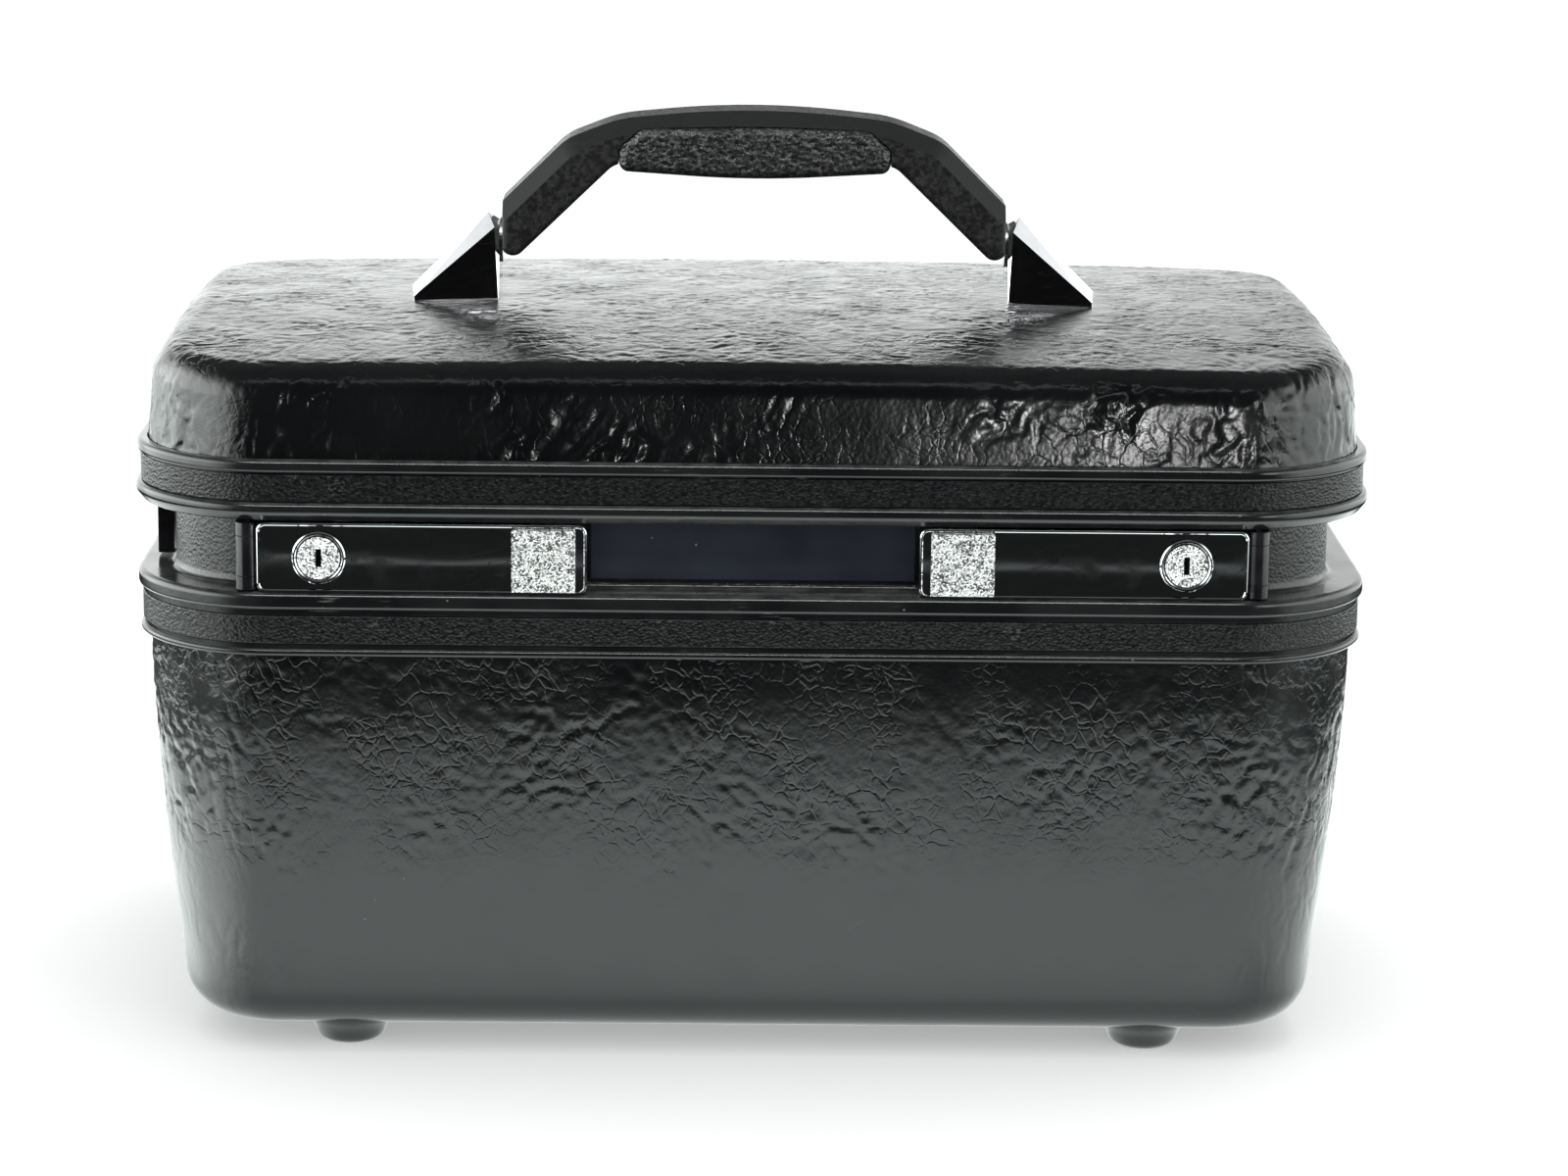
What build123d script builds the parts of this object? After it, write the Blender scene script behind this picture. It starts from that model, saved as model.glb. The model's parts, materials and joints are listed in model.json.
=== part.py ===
from build123d import *
import os
from math import hypot, radians, sin, sqrt, tan

os.makedirs("parts", exist_ok=True)

# Makeup train case with a hinged lid, two front latches, a lid stay and a top
# handle, in millimetres. The origin is the centre of the case on the floor.
# +X is right as seen from the front, the front faces -Y, +Z is up.
# Paired pieces are built on the right and mirrored to the left.

# ---------------------------------------------------------- driving dimensions
WIDTH, DEPTH = 350.0, 216.0          # overall, across the rim line
HALF_W, HALF_D = WIDTH / 2, DEPTH / 2
CORNER_R = 41.6                      # plan corner radius of the rim line
CORE_INSET = CORNER_R - 1.0          # where turned rims meet their flat middle
WALL = 2.6                           # moulded shell thickness
GAP = 0.02                           # air between pieces that lie together

TUB_BOTTOM = 6.5                     # underside of the tub, above the feet
BEAD_BOTTOM = 119.9                  # base rim: underside of the bottom bead
LEDGE_Z = 138.0                      # base rim: top of the ledge
RIM_CHANNEL_Z = LEDGE_Z - 2.7        # base rim: underside of the deck
NECK_TOP = 157.7
LID_BOTTOM = 158.1
LID_DECK = 160.6                     # height of the lid rim's deck
LID_RIM_TOP = 175.3

NECK = 11.0                          # neck set back from the rim line
NECK_T = 3.0                         # neck wall
NECK_FRONT = -(HALF_D - NECK)        # outer faces of the neck
NECK_BACK = HALF_D - NECK
NECK_LEFT = -(HALF_W - NECK)
NECK_PLATE_Z = LEDGE_Z + 2.6         # bottom of the plates laid on the neck

RIVET_R, RIVET_HOLE_R = 1.5, 1.55
RIVET_HEAD_R = 2.8                   # rivet heads inside the neck

HINGE_X, HINGE_Y, HINGE_Z = 96.0, 104.2, 148.0   # hinge centre, on its axis
HINGE_RIVETS_X = (HINGE_X - 16.0, HINGE_X + 16.0)
BASE_RIVET_Z = 142.6
LID_RIVET_Y, LID_RIVET_HOLE_R = 102.4, 1.35

LOCK_X, LOCK_Z = 120.0, 148.1        # lock centre
LATCH_RIVETS_X = (80.0, 104.0)

STAY_PIVOT_Y = HINGE_Y - 40.0
STAY_LUG_Y = HINGE_Y - 108.6
STAY_BORE_R = 2.55

RAIL_SCREW_X, RAIL_SCREWS_Y, RAIL_HOLE_R = 164.4, (-44.0, 44.0), 0.93


# --------------------------------------------------------------------- helpers
def rounded_face(corners):
    """Closed face in XY from (x, y) or (x, y, radius) corners."""
    turns = []
    for i, corner in enumerate(corners):
        point = Vector(*corner[:2])
        radius = corner[2] if len(corner) > 2 else 0
        if radius <= 0:
            turns.append((point, None, point))
            continue
        to_last = (Vector(*corners[i - 1][:2]) - point).normalized()
        to_next = (Vector(*corners[(i + 1) % len(corners)][:2]) - point).normalized()
        half_angle = radians(to_last.get_angle(to_next)) / 2
        bisector = (to_last + to_next).normalized()
        reach = radius / tan(half_angle)
        middle = point + bisector * (radius / sin(half_angle) - radius)
        turns.append((point + to_last * reach, middle, point + to_next * reach))
    edges = []
    for i, (start, middle, end) in enumerate(turns):
        if middle is not None:
            edges.append(Edge.make_three_point_arc(start, middle, end))
        next_start = turns[(i + 1) % len(turns)][0]
        if (next_start - end).length > 1e-6:
            edges.append(Edge.make_line(end, next_start))
    return Face(Wire(edges))


def rounded_rect(x0, x1, y0, y1, radius):
    return rounded_face([(x0, y0, radius), (x1, y0, radius),
                         (x1, y1, radius), (x0, y1, radius)])


def as_part(solid):
    return Part(Compound([solid]).wrapped)


def fuse(items):
    total = items[0]
    for item in items[1:]:
        total = total + item
    return total


def cut(part, tools):
    for tool in tools:
        part = part - tool
    return part


def ring(profile):
    """Runs a profile (x = outward from the rim line, y = height) round the
    case: four straight runs and four turned corners."""
    run_x, run_y = HALF_W - CORNER_R, HALF_D - CORNER_R
    parts = []
    # outward normal x, y; start of the run x, y; length of the run
    for nx, ny, start_x, start_y, length in (
        (0, -1, run_x, -HALF_D, 2 * run_x),
        (1, 0, HALF_W, run_y, 2 * run_y),
        (0, 1, -run_x, HALF_D, 2 * run_x),
        (-1, 0, -HALF_W, -run_y, 2 * run_y),
    ):
        plane = Plane(origin=(start_x, start_y, 0), x_dir=(nx, ny, 0), z_dir=(ny, -nx, 0))
        face = plane.from_local_coords(profile)
        corner = (start_x - nx * CORNER_R, start_y - ny * CORNER_R, 0)
        parts.append(Solid.extrude(face, plane.z_dir * length))
        parts.append(Solid.revolve(face, 90, Axis(corner, (0, 0, 1))))
    return fuse([as_part(part) for part in parts])


def slab(width, depth, radius, z0, z1):
    return Pos(0, 0, z0) * extrude(RectangleRounded(width, depth, radius), z1 - z0)


def plan_slab(inset, z0, z1):
    """Slab with the plan of the rim line, drawn in by inset."""
    return slab(2 * (HALF_W - inset), 2 * (HALF_D - inset), CORNER_R - inset, z0, z1)


def box(x0, x1, y0, y1, z0, z1):
    return Pos((x0 + x1) / 2, (y0 + y1) / 2, (z0 + z1) / 2) * Box(
        abs(x1 - x0), abs(y1 - y0), abs(z1 - z0))


def cyl_x(x0, x1, y, z, radius):
    return Pos((x0 + x1) / 2, y, z) * Rot(0, 90, 0) * Cylinder(radius, abs(x1 - x0))


def cyl_y(y0, y1, x, z, radius):
    return Pos(x, (y0 + y1) / 2, z) * Rot(90, 0, 0) * Cylinder(radius, abs(y1 - y0))


def cyl_z(z0, z1, x, y, radius):
    return Pos(x, y, (z0 + z1) / 2) * Cylinder(radius, abs(z1 - z0))


def prism_x(face, x0, x1):
    """Face drawn in (y, z), pulled along X from x0 to x1."""
    plane = Plane(origin=(x0, 0, 0), x_dir=(0, 1, 0), z_dir=(1, 0, 0))
    return as_part(Solid.extrude(plane.from_local_coords(face), Vector(x1 - x0, 0, 0)))


def prism_y(face, y0, y1):
    """Face drawn in (x, z), pulled along Y from y0 to y1."""
    plane = Plane(origin=(0, y0, 0), x_dir=(1, 0, 0), z_dir=(0, -1, 0))
    return as_part(Solid.extrude(plane.from_local_coords(face), Vector(0, y1 - y0, 0)))


def mirror_x(part):
    return mirror(part, about=Plane.YZ)


def is_one_solid(part):
    return part.is_valid and len(part.solids()) == 1


def save(name, part):
    export_step(part, f"parts/{name}.step")


def save_pair(name, right):
    """Two files: the right piece and its mirror image."""
    save(f"{name}_right", right)
    save(f"{name}_left", mirror_x(right))


def save_set(name, right_parts):
    """One file with the right pieces and their mirror images."""
    save(name, Compound(children=[
        piece for part in right_parts for piece in (part, mirror_x(part))]))


# ------------------------------------------------------------ base: tub, lining
FOOT_X, FOOT_Y, FOOT_R, FOOT_H = 114.8, 76.9, 11.2, 8.8
LINING_T = 1.6
LINING_GAP = 5.3                     # tub outside to lining outside

# Outside of the tub, down the side and in along the floor:
# outward from the rim line, height, corner radius
TUB_WALL = [(-3.6, LEDGE_Z - 2.8, 0), (-3.6, 107.0, 400.0), (-7.2, 59.0, 400.0),
            (-13.1, TUB_BOTTOM, 13.0), (-32.0, TUB_BOTTOM, 0)]


def offset_wall(outline, thickness):
    """Shifts an open wall outline inward, keeping its end height and reach."""
    directions = []
    for (u0, z0, _), (u1, z1, _) in zip(outline, outline[1:]):
        length = hypot(u1 - u0, z1 - z0)
        directions.append(((u1 - u0) / length, (z1 - z0) / length))
    shifted = []
    for k, (u, z, radius) in enumerate(outline):
        before = directions[max(k - 1, 0)]
        after = directions[min(k, len(directions) - 1)]
        miter_u, miter_z = before[1] + after[1], -before[0] - after[0]
        scale = 2 * thickness / (miter_u ** 2 + miter_z ** 2)
        shifted.append((u + miter_u * scale, z + miter_z * scale, radius - thickness))
    shifted[0] = (shifted[0][0], outline[0][1], 0)
    shifted[-1] = (outline[-1][0], shifted[-1][1], 0)
    return shifted


def wall_tub(outer, thickness):
    """The wall run round the plan, plus its floor."""
    inner = offset_wall(outer, thickness)
    floor_u, floor_z, _ = outer[-1]
    return ring(rounded_face(outer + inner[::-1])) + plan_slab(
        -floor_u, floor_z, floor_z + thickness)


def build_base_shell():
    profile = rounded_face([(0, 0), (FOOT_R - 1.6, 0, 1.4), (FOOT_R, 6.8),
                            (FOOT_R, FOOT_H), (0, FOOT_H)])
    upright = Plane(origin=(0, 0, 0), x_dir=(1, 0, 0), z_dir=(0, -1, 0))
    foot = as_part(Solid.revolve(upright.from_local_coords(profile), 360, Axis.Z))
    shell = wall_tub(TUB_WALL, WALL)
    for side_x in (-1, 1):
        for side_y in (-1, 1):
            shell = shell + Pos(side_x * FOOT_X, side_y * FOOT_Y, 0) * foot
    return shell


def build_base_lining():
    outline = offset_wall(TUB_WALL, LINING_GAP)
    outline[0] = (outline[0][0], 131.0, 0)
    outline[-1] = (-34.0, outline[-1][1], 0)
    return wall_tub(outline, LINING_T)


# ------------------------------------------------- base: rim, ledge, neck, band
# Ledge nose, groove, band seat, bottom bead, channel for the tub rim, deck and
# neck: outward from the rim line, height, corner radius
BASE_RIM = [
    (-0.3, LEDGE_Z, 1.7), (-0.3, 133.1, 1.2), (-1.6, 133.1), (-1.6, 131.5),
    (-2.5, 131.5), (-2.5, 123.2), (-1.8, 123.2), (-1.8, 121.9),
    (-0.8, 121.9, 0.9), (-0.8, BEAD_BOTTOM, 0.9),
    (-3.55, BEAD_BOTTOM), (-3.55, RIM_CHANNEL_Z),
    (-6.3, RIM_CHANNEL_Z), (-6.3, 124.0), (-8.3, 124.0), (-8.3, RIM_CHANNEL_Z),
    (-(NECK + NECK_T), RIM_CHANNEL_Z), (-(NECK + NECK_T), NECK_TOP),
    (-NECK, NECK_TOP, 0.5), (-NECK, LEDGE_Z, 2.5)]
TONGUE_TOP = 160.3


def build_base_frame():
    frame = ring(rounded_face(BASE_RIM))
    tongue = ring(rounded_face([
        (-12.1, NECK_TOP - 1), (-12.1, TONGUE_TOP, 0.35),
        (-13.0, TONGUE_TOP, 0.35), (-13.0, NECK_TOP - 1)]))
    # the tongue on the neck is left off round the back
    frame = frame + (tongue - box(-HALF_W, HALF_W, 60, HALF_D, 150, 170))
    frame = cut(frame, [
        cyl_y(NECK_FRONT - 5, NECK_FRONT + 5, side * x, LOCK_Z, RIVET_HOLE_R)
        for x in LATCH_RIVETS_X for side in (-1, 1)])
    frame = cut(frame, [
        cyl_y(NECK_BACK - 9, NECK_BACK + 4, side * x, BASE_RIVET_Z, RIVET_HOLE_R)
        for x in HINGE_RIVETS_X for side in (1, -1)])
    frame = frame - cyl_x(-180, -150, STAY_PIVOT_Y, HINGE_Z, STAY_BORE_R)
    return cut(frame, [
        cyl_z(130, 137.1, side * RAIL_SCREW_X, y, RAIL_HOLE_R)
        for y in RAIL_SCREWS_Y for side in (-1, 1)])


def build_band(z0, z1):
    """Trim band in a rim's seat, its outer edges rounded."""
    return ring(rounded_face([(-1.4, z1, 0.3), (-1.4, z0, 0.3), (-2.45, z0), (-2.45, z1)]))


def build_centre_panel():
    panel = box(-45.4, 45.4, NECK_FRONT - 1.2, NECK_FRONT - GAP, NECK_PLATE_Z, NECK_TOP - 0.5)
    return chamfer(panel.edges().filter_by(GeomType.LINE).group_by(Axis.Y)[0], 0.4)


# --------------------------------------------------------------- latch (right)
PLATE_IN, PLATE_OUT = 46.1, 137.1    # latch plate ends
PLATE_Z0, PLATE_Z1 = 138.3, 157.8    # latch plate bottom and top
PLATE_FRONT = -107.5                 # front of the plate's raised rim
PLATE_FACE = -106.9                  # sunk face inside that rim
PLATE_RIM = 0.75                     # width of the rim
LATCH_X, LATCH_Y = 140.2, -104.0     # latch pivot axis
KNUCKLE_R = 3.0
LUG_IN, LUG_OUT = 138.2, 143.2       # ends of the housing lugs
LEVER_FRONT, LEVER_BACK = -105.7, -103.4
LEVER_KNUCKLE_Z = (142.5, 153.7)
SLIDE_IN, SLIDE_OUT = 49.2, 66.8     # thumb slide cap ends
SLIDE_Z = 148.0
SHANK_IN, SHANK_OUT, SHANK_HALF = 55.0, 61.0, 3.0
SHANK_FIT = 0.2
TRAVEL = 4.5                         # thumb slide travel
BOLT_Y = (-103.3, -102.1)
STRIKE_Y = (-103.0, -98.6)
LOCK_BORE_R, LOCK_RING_R = 7.45, 7.4
LOCK_RING_FRONT, PLUG_FRONT = -107.98, -107.8
PLUG_TAIL_R = 2.6
THROUGH_Y = (-110, -100)             # cuts right through the latch front


def cut_lock_and_slot(part):
    """Opens the lock bore and the slot in which the thumb slide runs."""
    part = part - cyl_y(*THROUGH_Y, LOCK_X, LOCK_Z, LOCK_BORE_R)
    half = SHANK_HALF + SHANK_FIT
    return part - box(SHANK_IN - SHANK_FIT, SHANK_OUT + SHANK_FIT + TRAVEL + 0.3,
                      *THROUGH_Y, SLIDE_Z - half, SLIDE_Z + half)


def chamfer_circles(part, y, size):
    return chamfer([edge for edge in part.edges().filter_by(GeomType.CIRCLE)
                    if abs(edge.center().Y - y) < 1e-4], size)


def build_latch_housing():
    housing = box(PLATE_IN + 0.4, LUG_OUT, NECK_FRONT - 1.2, NECK_FRONT - GAP,
                  NECK_PLATE_Z, NECK_TOP - 0.3)
    # the lower lug is raised near the neck, clear of the ledge fillet
    low_z0, low_z1 = 138.7, 142.3
    low_lug = box(LUG_IN, LUG_OUT, LATCH_Y, NECK_FRONT - GAP, low_z0 + 1.95, low_z1)
    low_lug = low_lug + box(LUG_IN, LUG_OUT, LATCH_Y, NECK_FRONT - 2.6, low_z0, low_z1)
    housing = housing + low_lug + cyl_z(low_z0, low_z1, LATCH_X, LATCH_Y, KNUCKLE_R)
    top_z0, top_z1 = 153.9, 157.5
    top_lug = box(LUG_IN, LUG_OUT, LATCH_Y, NECK_FRONT - GAP, top_z0, top_z1)
    housing = housing + top_lug + cyl_z(top_z0, top_z1, LATCH_X, LATCH_Y, KNUCKLE_R)
    housing = housing - cyl_z(130, 165, LATCH_X, LATCH_Y, 1.04)
    return cut(housing, [cyl_y(NECK_FRONT - 5, NECK_FRONT + 5, x, LOCK_Z, RIVET_HOLE_R)
                         for x in LATCH_RIVETS_X])


def build_latch_lever():
    body = box(PLATE_IN + 0.5, PLATE_OUT - 0.1, LEVER_FRONT, LEVER_BACK, 138.7, 157.4)
    lever = body + cyl_z(*LEVER_KNUCKLE_Z, LATCH_X, LATCH_Y, KNUCKLE_R) + box(
        134.0, LATCH_X, LEVER_FRONT, -102.4, *LEVER_KNUCKLE_Z)
    lever = cut_lock_and_slot(lever - cyl_z(130, 165, LATCH_X, LATCH_Y, 1.05))
    spring_post = box(73.6, 75.4, -103.5, -100.9,
                      SLIDE_Z - SHANK_HALF, SLIDE_Z + SHANK_HALF)
    return lever + spring_post


def build_latch_faceplate():
    outline = rounded_rect(PLATE_IN, PLATE_OUT, PLATE_Z0, PLATE_Z1, 2.4)
    plate = prism_y(outline, PLATE_FRONT, LEVER_FRONT - 0.05)
    sunk = rounded_rect(PLATE_IN + PLATE_RIM, PLATE_OUT - PLATE_RIM,
                        PLATE_Z0 + PLATE_RIM, PLATE_Z1 - PLATE_RIM, 1.7)
    plate = plate - prism_y(sunk, PLATE_FRONT - 0.5, PLATE_FACE)
    rim_edges = [edge for edge in plate.edges()
                 if abs(edge.center().Y - PLATE_FRONT) < 1e-4 and edge.length > 0.5]
    # guards the chamfer on the narrow rim: it stays square if that fails
    try:
        plate = chamfer(rim_edges, 0.22)
    except Exception:
        pass
    return cut_lock_and_slot(plate)


def build_thumb_slide():
    """Cap in front of the face plate, on a shank that runs through the slot."""
    cap = prism_y(rounded_rect(SLIDE_IN, SLIDE_OUT, 139.15, 156.45, 0.5),
                  -108.0, PLATE_FACE - 0.05)
    return cap + box(SHANK_IN, SHANK_OUT, PLATE_FACE - 0.1, -103.35,
                     SLIDE_Z - SHANK_HALF, SLIDE_Z + SHANK_HALF)


def build_latch_bolt():
    bolt = box(52.0, 64.0, *BOLT_Y, SLIDE_Z - 5.4, SLIDE_Z + 5.4)
    nose = box(49.6, 52.5, *BOLT_Y, 147.6, SLIDE_Z + 5.4)
    return bolt + nose


def build_latch_spring():
    """Return spring along X, drawn at its shortest."""
    helix = Helix(pitch=1.3, height=3.9, radius=2.0)
    section = Plane(origin=helix @ 0, z_dir=helix % 0) * Circle(0.28)
    coil = sweep(section, path=helix)
    return Pos(69.4, -100.7, SLIDE_Z) * Rot(0, 90, 0) * Part(coil.wrapped)


def build_lock_ring():
    bezel = cyl_y(LOCK_RING_FRONT, -103.45, LOCK_X, LOCK_Z, LOCK_RING_R) - cyl_y(
        *THROUGH_Y, LOCK_X, LOCK_Z, 6.3)
    return chamfer_circles(bezel, LOCK_RING_FRONT, 0.3)


def build_lock_cylinder():
    """Plug with a plain straight key slot and a tail for the cam."""
    plug = chamfer_circles(cyl_y(PLUG_FRONT, -103.3, LOCK_X, LOCK_Z, 6.25), PLUG_FRONT, 0.3)
    plug = plug + cyl_y(-103.31, -100.6, LOCK_X, LOCK_Z, PLUG_TAIL_R)
    return plug - box(LOCK_X - 0.8, LOCK_X + 0.8, -109, -105.2, LOCK_Z - 2.5, LOCK_Z + 2.5)


def build_lock_cam():
    outline = rounded_face([
        (LOCK_X - 8.6, LOCK_Z - 2.2, 1.0), (LOCK_X + 4.0, LOCK_Z - 3.6, 2.5),
        (LOCK_X + 4.0, LOCK_Z + 3.6, 2.5), (LOCK_X - 8.6, LOCK_Z + 2.2, 1.0)])
    return prism_y(outline, -102.9, -101.8) - cyl_y(*THROUGH_Y, LOCK_X, LOCK_Z, PLUG_TAIL_R)


def build_lid_strike():
    """Hangs from the lid behind the lever, just clear of the bolt nose."""
    return box(47.2, 62.0, *STRIKE_Y, 156.9, LID_BOTTOM - GAP) + box(
        47.4, 49.1, *STRIKE_Y, 147.0, 157.5)


def build_latch_rivet(x):
    inside = NECK_FRONT + NECK_T + GAP
    return (cyl_y(NECK_FRONT - 2.0, inside, x, LOCK_Z, RIVET_R)
            + cyl_y(inside, NECK_FRONT + NECK_T + 1.0, x, LOCK_Z, RIVET_HEAD_R)
            + cyl_y(NECK_FRONT - 2.0, NECK_FRONT - 1.22, x, LOCK_Z, 2.6))


# -------------------------------------------------------------- hinges (right)
HINGE_HALF = 22.0                    # half length of a hinge
HINGE_IN, HINGE_OUT = HINGE_X - HINGE_HALF, HINGE_X + HINGE_HALF
HINGE_R = 3.6                        # knuckle radius
HINGE_PIN_R, HINGE_BORE_R = 1.50, 1.55
MIDDLE_HALF = 10.4                   # half length of the middle knuckle
OUTER_START = 10.6                   # outer knuckles, from the hinge centre
HINGE_LEAF_TOP = 146.0
LID_LEAF_Z = 156.5                   # underside of the lid leaf


def hinge_bore():
    return cyl_x(HINGE_X - 30, HINGE_X + 30, HINGE_Y, HINGE_Z, HINGE_BORE_R)


def build_hinge_base_leaf():
    leaf = box(HINGE_IN, HINGE_OUT, NECK_BACK + GAP, NECK_BACK + 1.5,
               NECK_PLATE_Z, HINGE_LEAF_TOP)
    for x0, x1 in ((HINGE_IN, HINGE_X - OUTER_START), (HINGE_X + OUTER_START, HINGE_OUT)):
        leaf = leaf + box(x0, x1, NECK_BACK + GAP, HINGE_Y, HINGE_Z - HINGE_R,
                          HINGE_LEAF_TOP) + cyl_x(x0, x1, HINGE_Y, HINGE_Z, HINGE_R)
    return cut(leaf - hinge_bore(), [
        cyl_y(NECK_BACK - 9, NECK_BACK + 9, x, BASE_RIVET_Z, RIVET_HOLE_R)
        for x in HINGE_RIVETS_X])


def build_hinge_lid_leaf():
    x0, x1 = HINGE_X - MIDDLE_HALF, HINGE_X + MIDDLE_HALF
    back = HINGE_Y + HINGE_R
    leaf = box(HINGE_IN, HINGE_OUT, 99.6, back, LID_LEAF_Z, LID_BOTTOM - GAP)
    leaf = leaf + cyl_x(x0, x1, HINGE_Y, HINGE_Z, HINGE_R) + box(
        x0, x1, back - 1.5, back, HINGE_Z, 157.0)
    return cut(leaf - hinge_bore(), [
        cyl_z(150, 165, x, LID_RIVET_Y, LID_RIVET_HOLE_R) for x in HINGE_RIVETS_X])


def build_hinge_pin():
    head_start, head_end = HINGE_HALF + 0.15, HINGE_HALF + 1.2
    return cyl_x(HINGE_IN - 0.6, HINGE_OUT + 0.6, HINGE_Y, HINGE_Z, HINGE_PIN_R) + cyl_x(
        HINGE_X + head_start, HINGE_X + head_end, HINGE_Y, HINGE_Z, 2.5) + cyl_x(
        HINGE_X - head_end, HINGE_X - head_start, HINGE_Y, HINGE_Z, 2.5)


def build_hinge_base_rivet(x):
    inside = NECK_BACK - NECK_T - GAP
    return (cyl_y(inside, NECK_BACK + 2.2, x, BASE_RIVET_Z, RIVET_R)
            + cyl_y(NECK_BACK - NECK_T - 1.0, inside, x, BASE_RIVET_Z, RIVET_HEAD_R)
            + cyl_y(NECK_BACK + 1.52, NECK_BACK + 2.3, x, BASE_RIVET_Z, 1.8))


def build_hinge_lid_rivet(x):
    head_z = LID_LEAF_Z - 0.8
    return (cyl_z(head_z, 160.4, x, LID_RIVET_Y, 1.3)
            + cyl_z(head_z, LID_LEAF_Z - GAP, x, LID_RIVET_Y, 2.4))


# --------------------------------------------------------- lid: rim, stay (left)
# Upper lip, band seat, lower bead, groove over the neck tongue and channel for
# the lid shell: outward from the rim line, height, corner radius
LID_RIM = [
    (-0.5, LID_RIM_TOP, 1.4), (-0.5, 171.8, 1.0), (-1.6, 171.8), (-1.6, 171.5),
    (-2.5, 171.5), (-2.5, 163.3), (-1.6, 163.3), (0.0, 163.1, 1.4),
    (0.0, 160.6, 2.0), (-2.0, LID_BOTTOM, 1.0), (-11.6, LID_BOTTOM), (-11.6, 160.9),
    (-13.5, 160.9), (-13.5, LID_BOTTOM), (-14.6, LID_BOTTOM), (-14.6, 163.2, 0.6),
    (-9.6, 163.2), (-9.6, 172.0), (-7.6, 172.0), (-7.6, LID_DECK + 0.6),
    (-3.35, LID_DECK + 0.6), (-3.35, LID_RIM_TOP)]
STAY_LUG_X = (-172.9, -171.0)
STAY_LUG_FOOT = 142.6
STAY_PIN_R = 1.6
ARM_OUT, ARM_IN = -170.0, -165.4     # outer and inner faces of the stay


def build_lid_frame():
    frame = cut(ring(rounded_face(LID_RIM)), [
        cyl_z(150, 160.5, side * x, LID_RIVET_Y, LID_RIVET_HOLE_R)
        for x in HINGE_RIVETS_X for side in (1, -1)])
    # lug for the lid stay, moulded under the left side of the rim
    lug = prism_x(rounded_face([
        (STAY_LUG_Y - 7, LID_BOTTOM + 0.5), (STAY_LUG_Y - 5, STAY_LUG_FOOT, 4.0),
        (STAY_LUG_Y + 5, STAY_LUG_FOOT, 4.0), (STAY_LUG_Y + 7, LID_BOTTOM + 0.5)]),
        *STAY_LUG_X)
    return frame + (lug - cyl_x(-180, -160, STAY_LUG_Y, HINGE_Z, STAY_PIN_R))


def build_stay_lug_pin():
    return cyl_x(-173.4, -170.3, STAY_LUG_Y, HINGE_Z, STAY_PIN_R) + cyl_x(
        -173.5, STAY_LUG_X[0] - GAP, STAY_LUG_Y, HINGE_Z, 2.6)


def build_lid_stay():
    """Flat arm with a blind slot in its outer face and a hooked front end."""
    back, tip = STAY_PIVOT_Y + 8.0, STAY_PIVOT_Y - 125.2
    low, high, hook = HINGE_Z - 6.0, HINGE_Z + 6.0, HINGE_Z - 9.3
    stay = prism_x(rounded_face([
        (back, low, 5.9), (back, high, 5.9), (tip, high, 1.5), (tip, hook, 1.5),
        (tip + 9.0, hook, 3.0), (tip + 14.0, low, 3.0)]), ARM_OUT, ARM_IN)
    slot_back, slot_front = STAY_PIVOT_Y - 64.5, STAY_PIVOT_Y - 121.2
    slot = rounded_face([
        (slot_back, HINGE_Z - 2.2, 2.15), (slot_back, HINGE_Z + 2.2, 2.15),
        (slot_front, HINGE_Z + 2.2, 2.15), (slot_front, HINGE_Z - 2.2, 2.15)])
    stay = stay - prism_x(slot, ARM_OUT - 1, ARM_OUT + 2.6)
    return stay - cyl_x(-180, -150, STAY_PIVOT_Y, HINGE_Z, STAY_BORE_R)


def build_stay_pivot():
    """Spacer, shaft, outer head and inner head."""
    inside = NECK_LEFT + NECK_T
    return fuse([cyl_x(x0, x1, STAY_PIVOT_Y, HINGE_Z, radius) for x0, x1, radius in (
        (ARM_IN + 0.1, NECK_LEFT - GAP, 4.2),
        (ARM_OUT - 0.1, inside + 0.3, 2.5),
        (ARM_OUT - 1.3, ARM_OUT - 0.1, 4.6),
        (inside + 0.15, inside + 1.4, 4.2))])


# ------------------------------------------------------------------ lid: shell
CROWN_Z = 206.2                      # top of the lid
CROWN_FRONT_R = 1030.0               # crown radius front to back
CROWN_SIDE_R = 8000.0                # crown radius side to side
CROWN_HALF_Y = 130.0                 # crown tool, wider than the lid
CROWN_TOOL_Z = 120
TOP_R = 10.0                         # top edge rounding
BLOCK_TOP = 214                      # lid block before the crown is cut
SIDE_Z, SIDE_INSET = 172, 3.4        # where the sides start to lean in
SIDE_LEAN = 0.085                    # lean inward per unit of height

BRACKET_SCREW_X, BRACKET_SCREWS_Y = 86.5, (-7.0, 7.0)
BRACKET_SCREW_R, BRACKET_HOLE_R = 1.9, 1.95


def crown_solid(z_top):
    """Block with the doubly curved crown on top."""
    half = CROWN_HALF_Y
    edge_z = z_top - (CROWN_FRONT_R - sqrt(CROWN_FRONT_R ** 2 - half ** 2))
    section = Face(Wire([
        Edge.make_three_point_arc((-half, edge_z, 0), (0, z_top, 0), (half, edge_z, 0)),
        Edge.make_line((half, edge_z, 0), (half, CROWN_TOOL_Z, 0)),
        Edge.make_line((half, CROWN_TOOL_Z, 0), (-half, CROWN_TOOL_Z, 0)),
        Edge.make_line((-half, CROWN_TOOL_Z, 0), (-half, edge_z, 0))]))
    plane = Plane(origin=(0, 0, 0), x_dir=(0, 1, 0), z_dir=(1, 0, 0))
    axis = Axis((0, 0, CROWN_Z - CROWN_SIDE_R), (0, 1, 0))
    section = plane.from_local_coords(section).rotate(axis, -1.5)
    return as_part(Solid.revolve(section, 3.0, axis))


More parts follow.
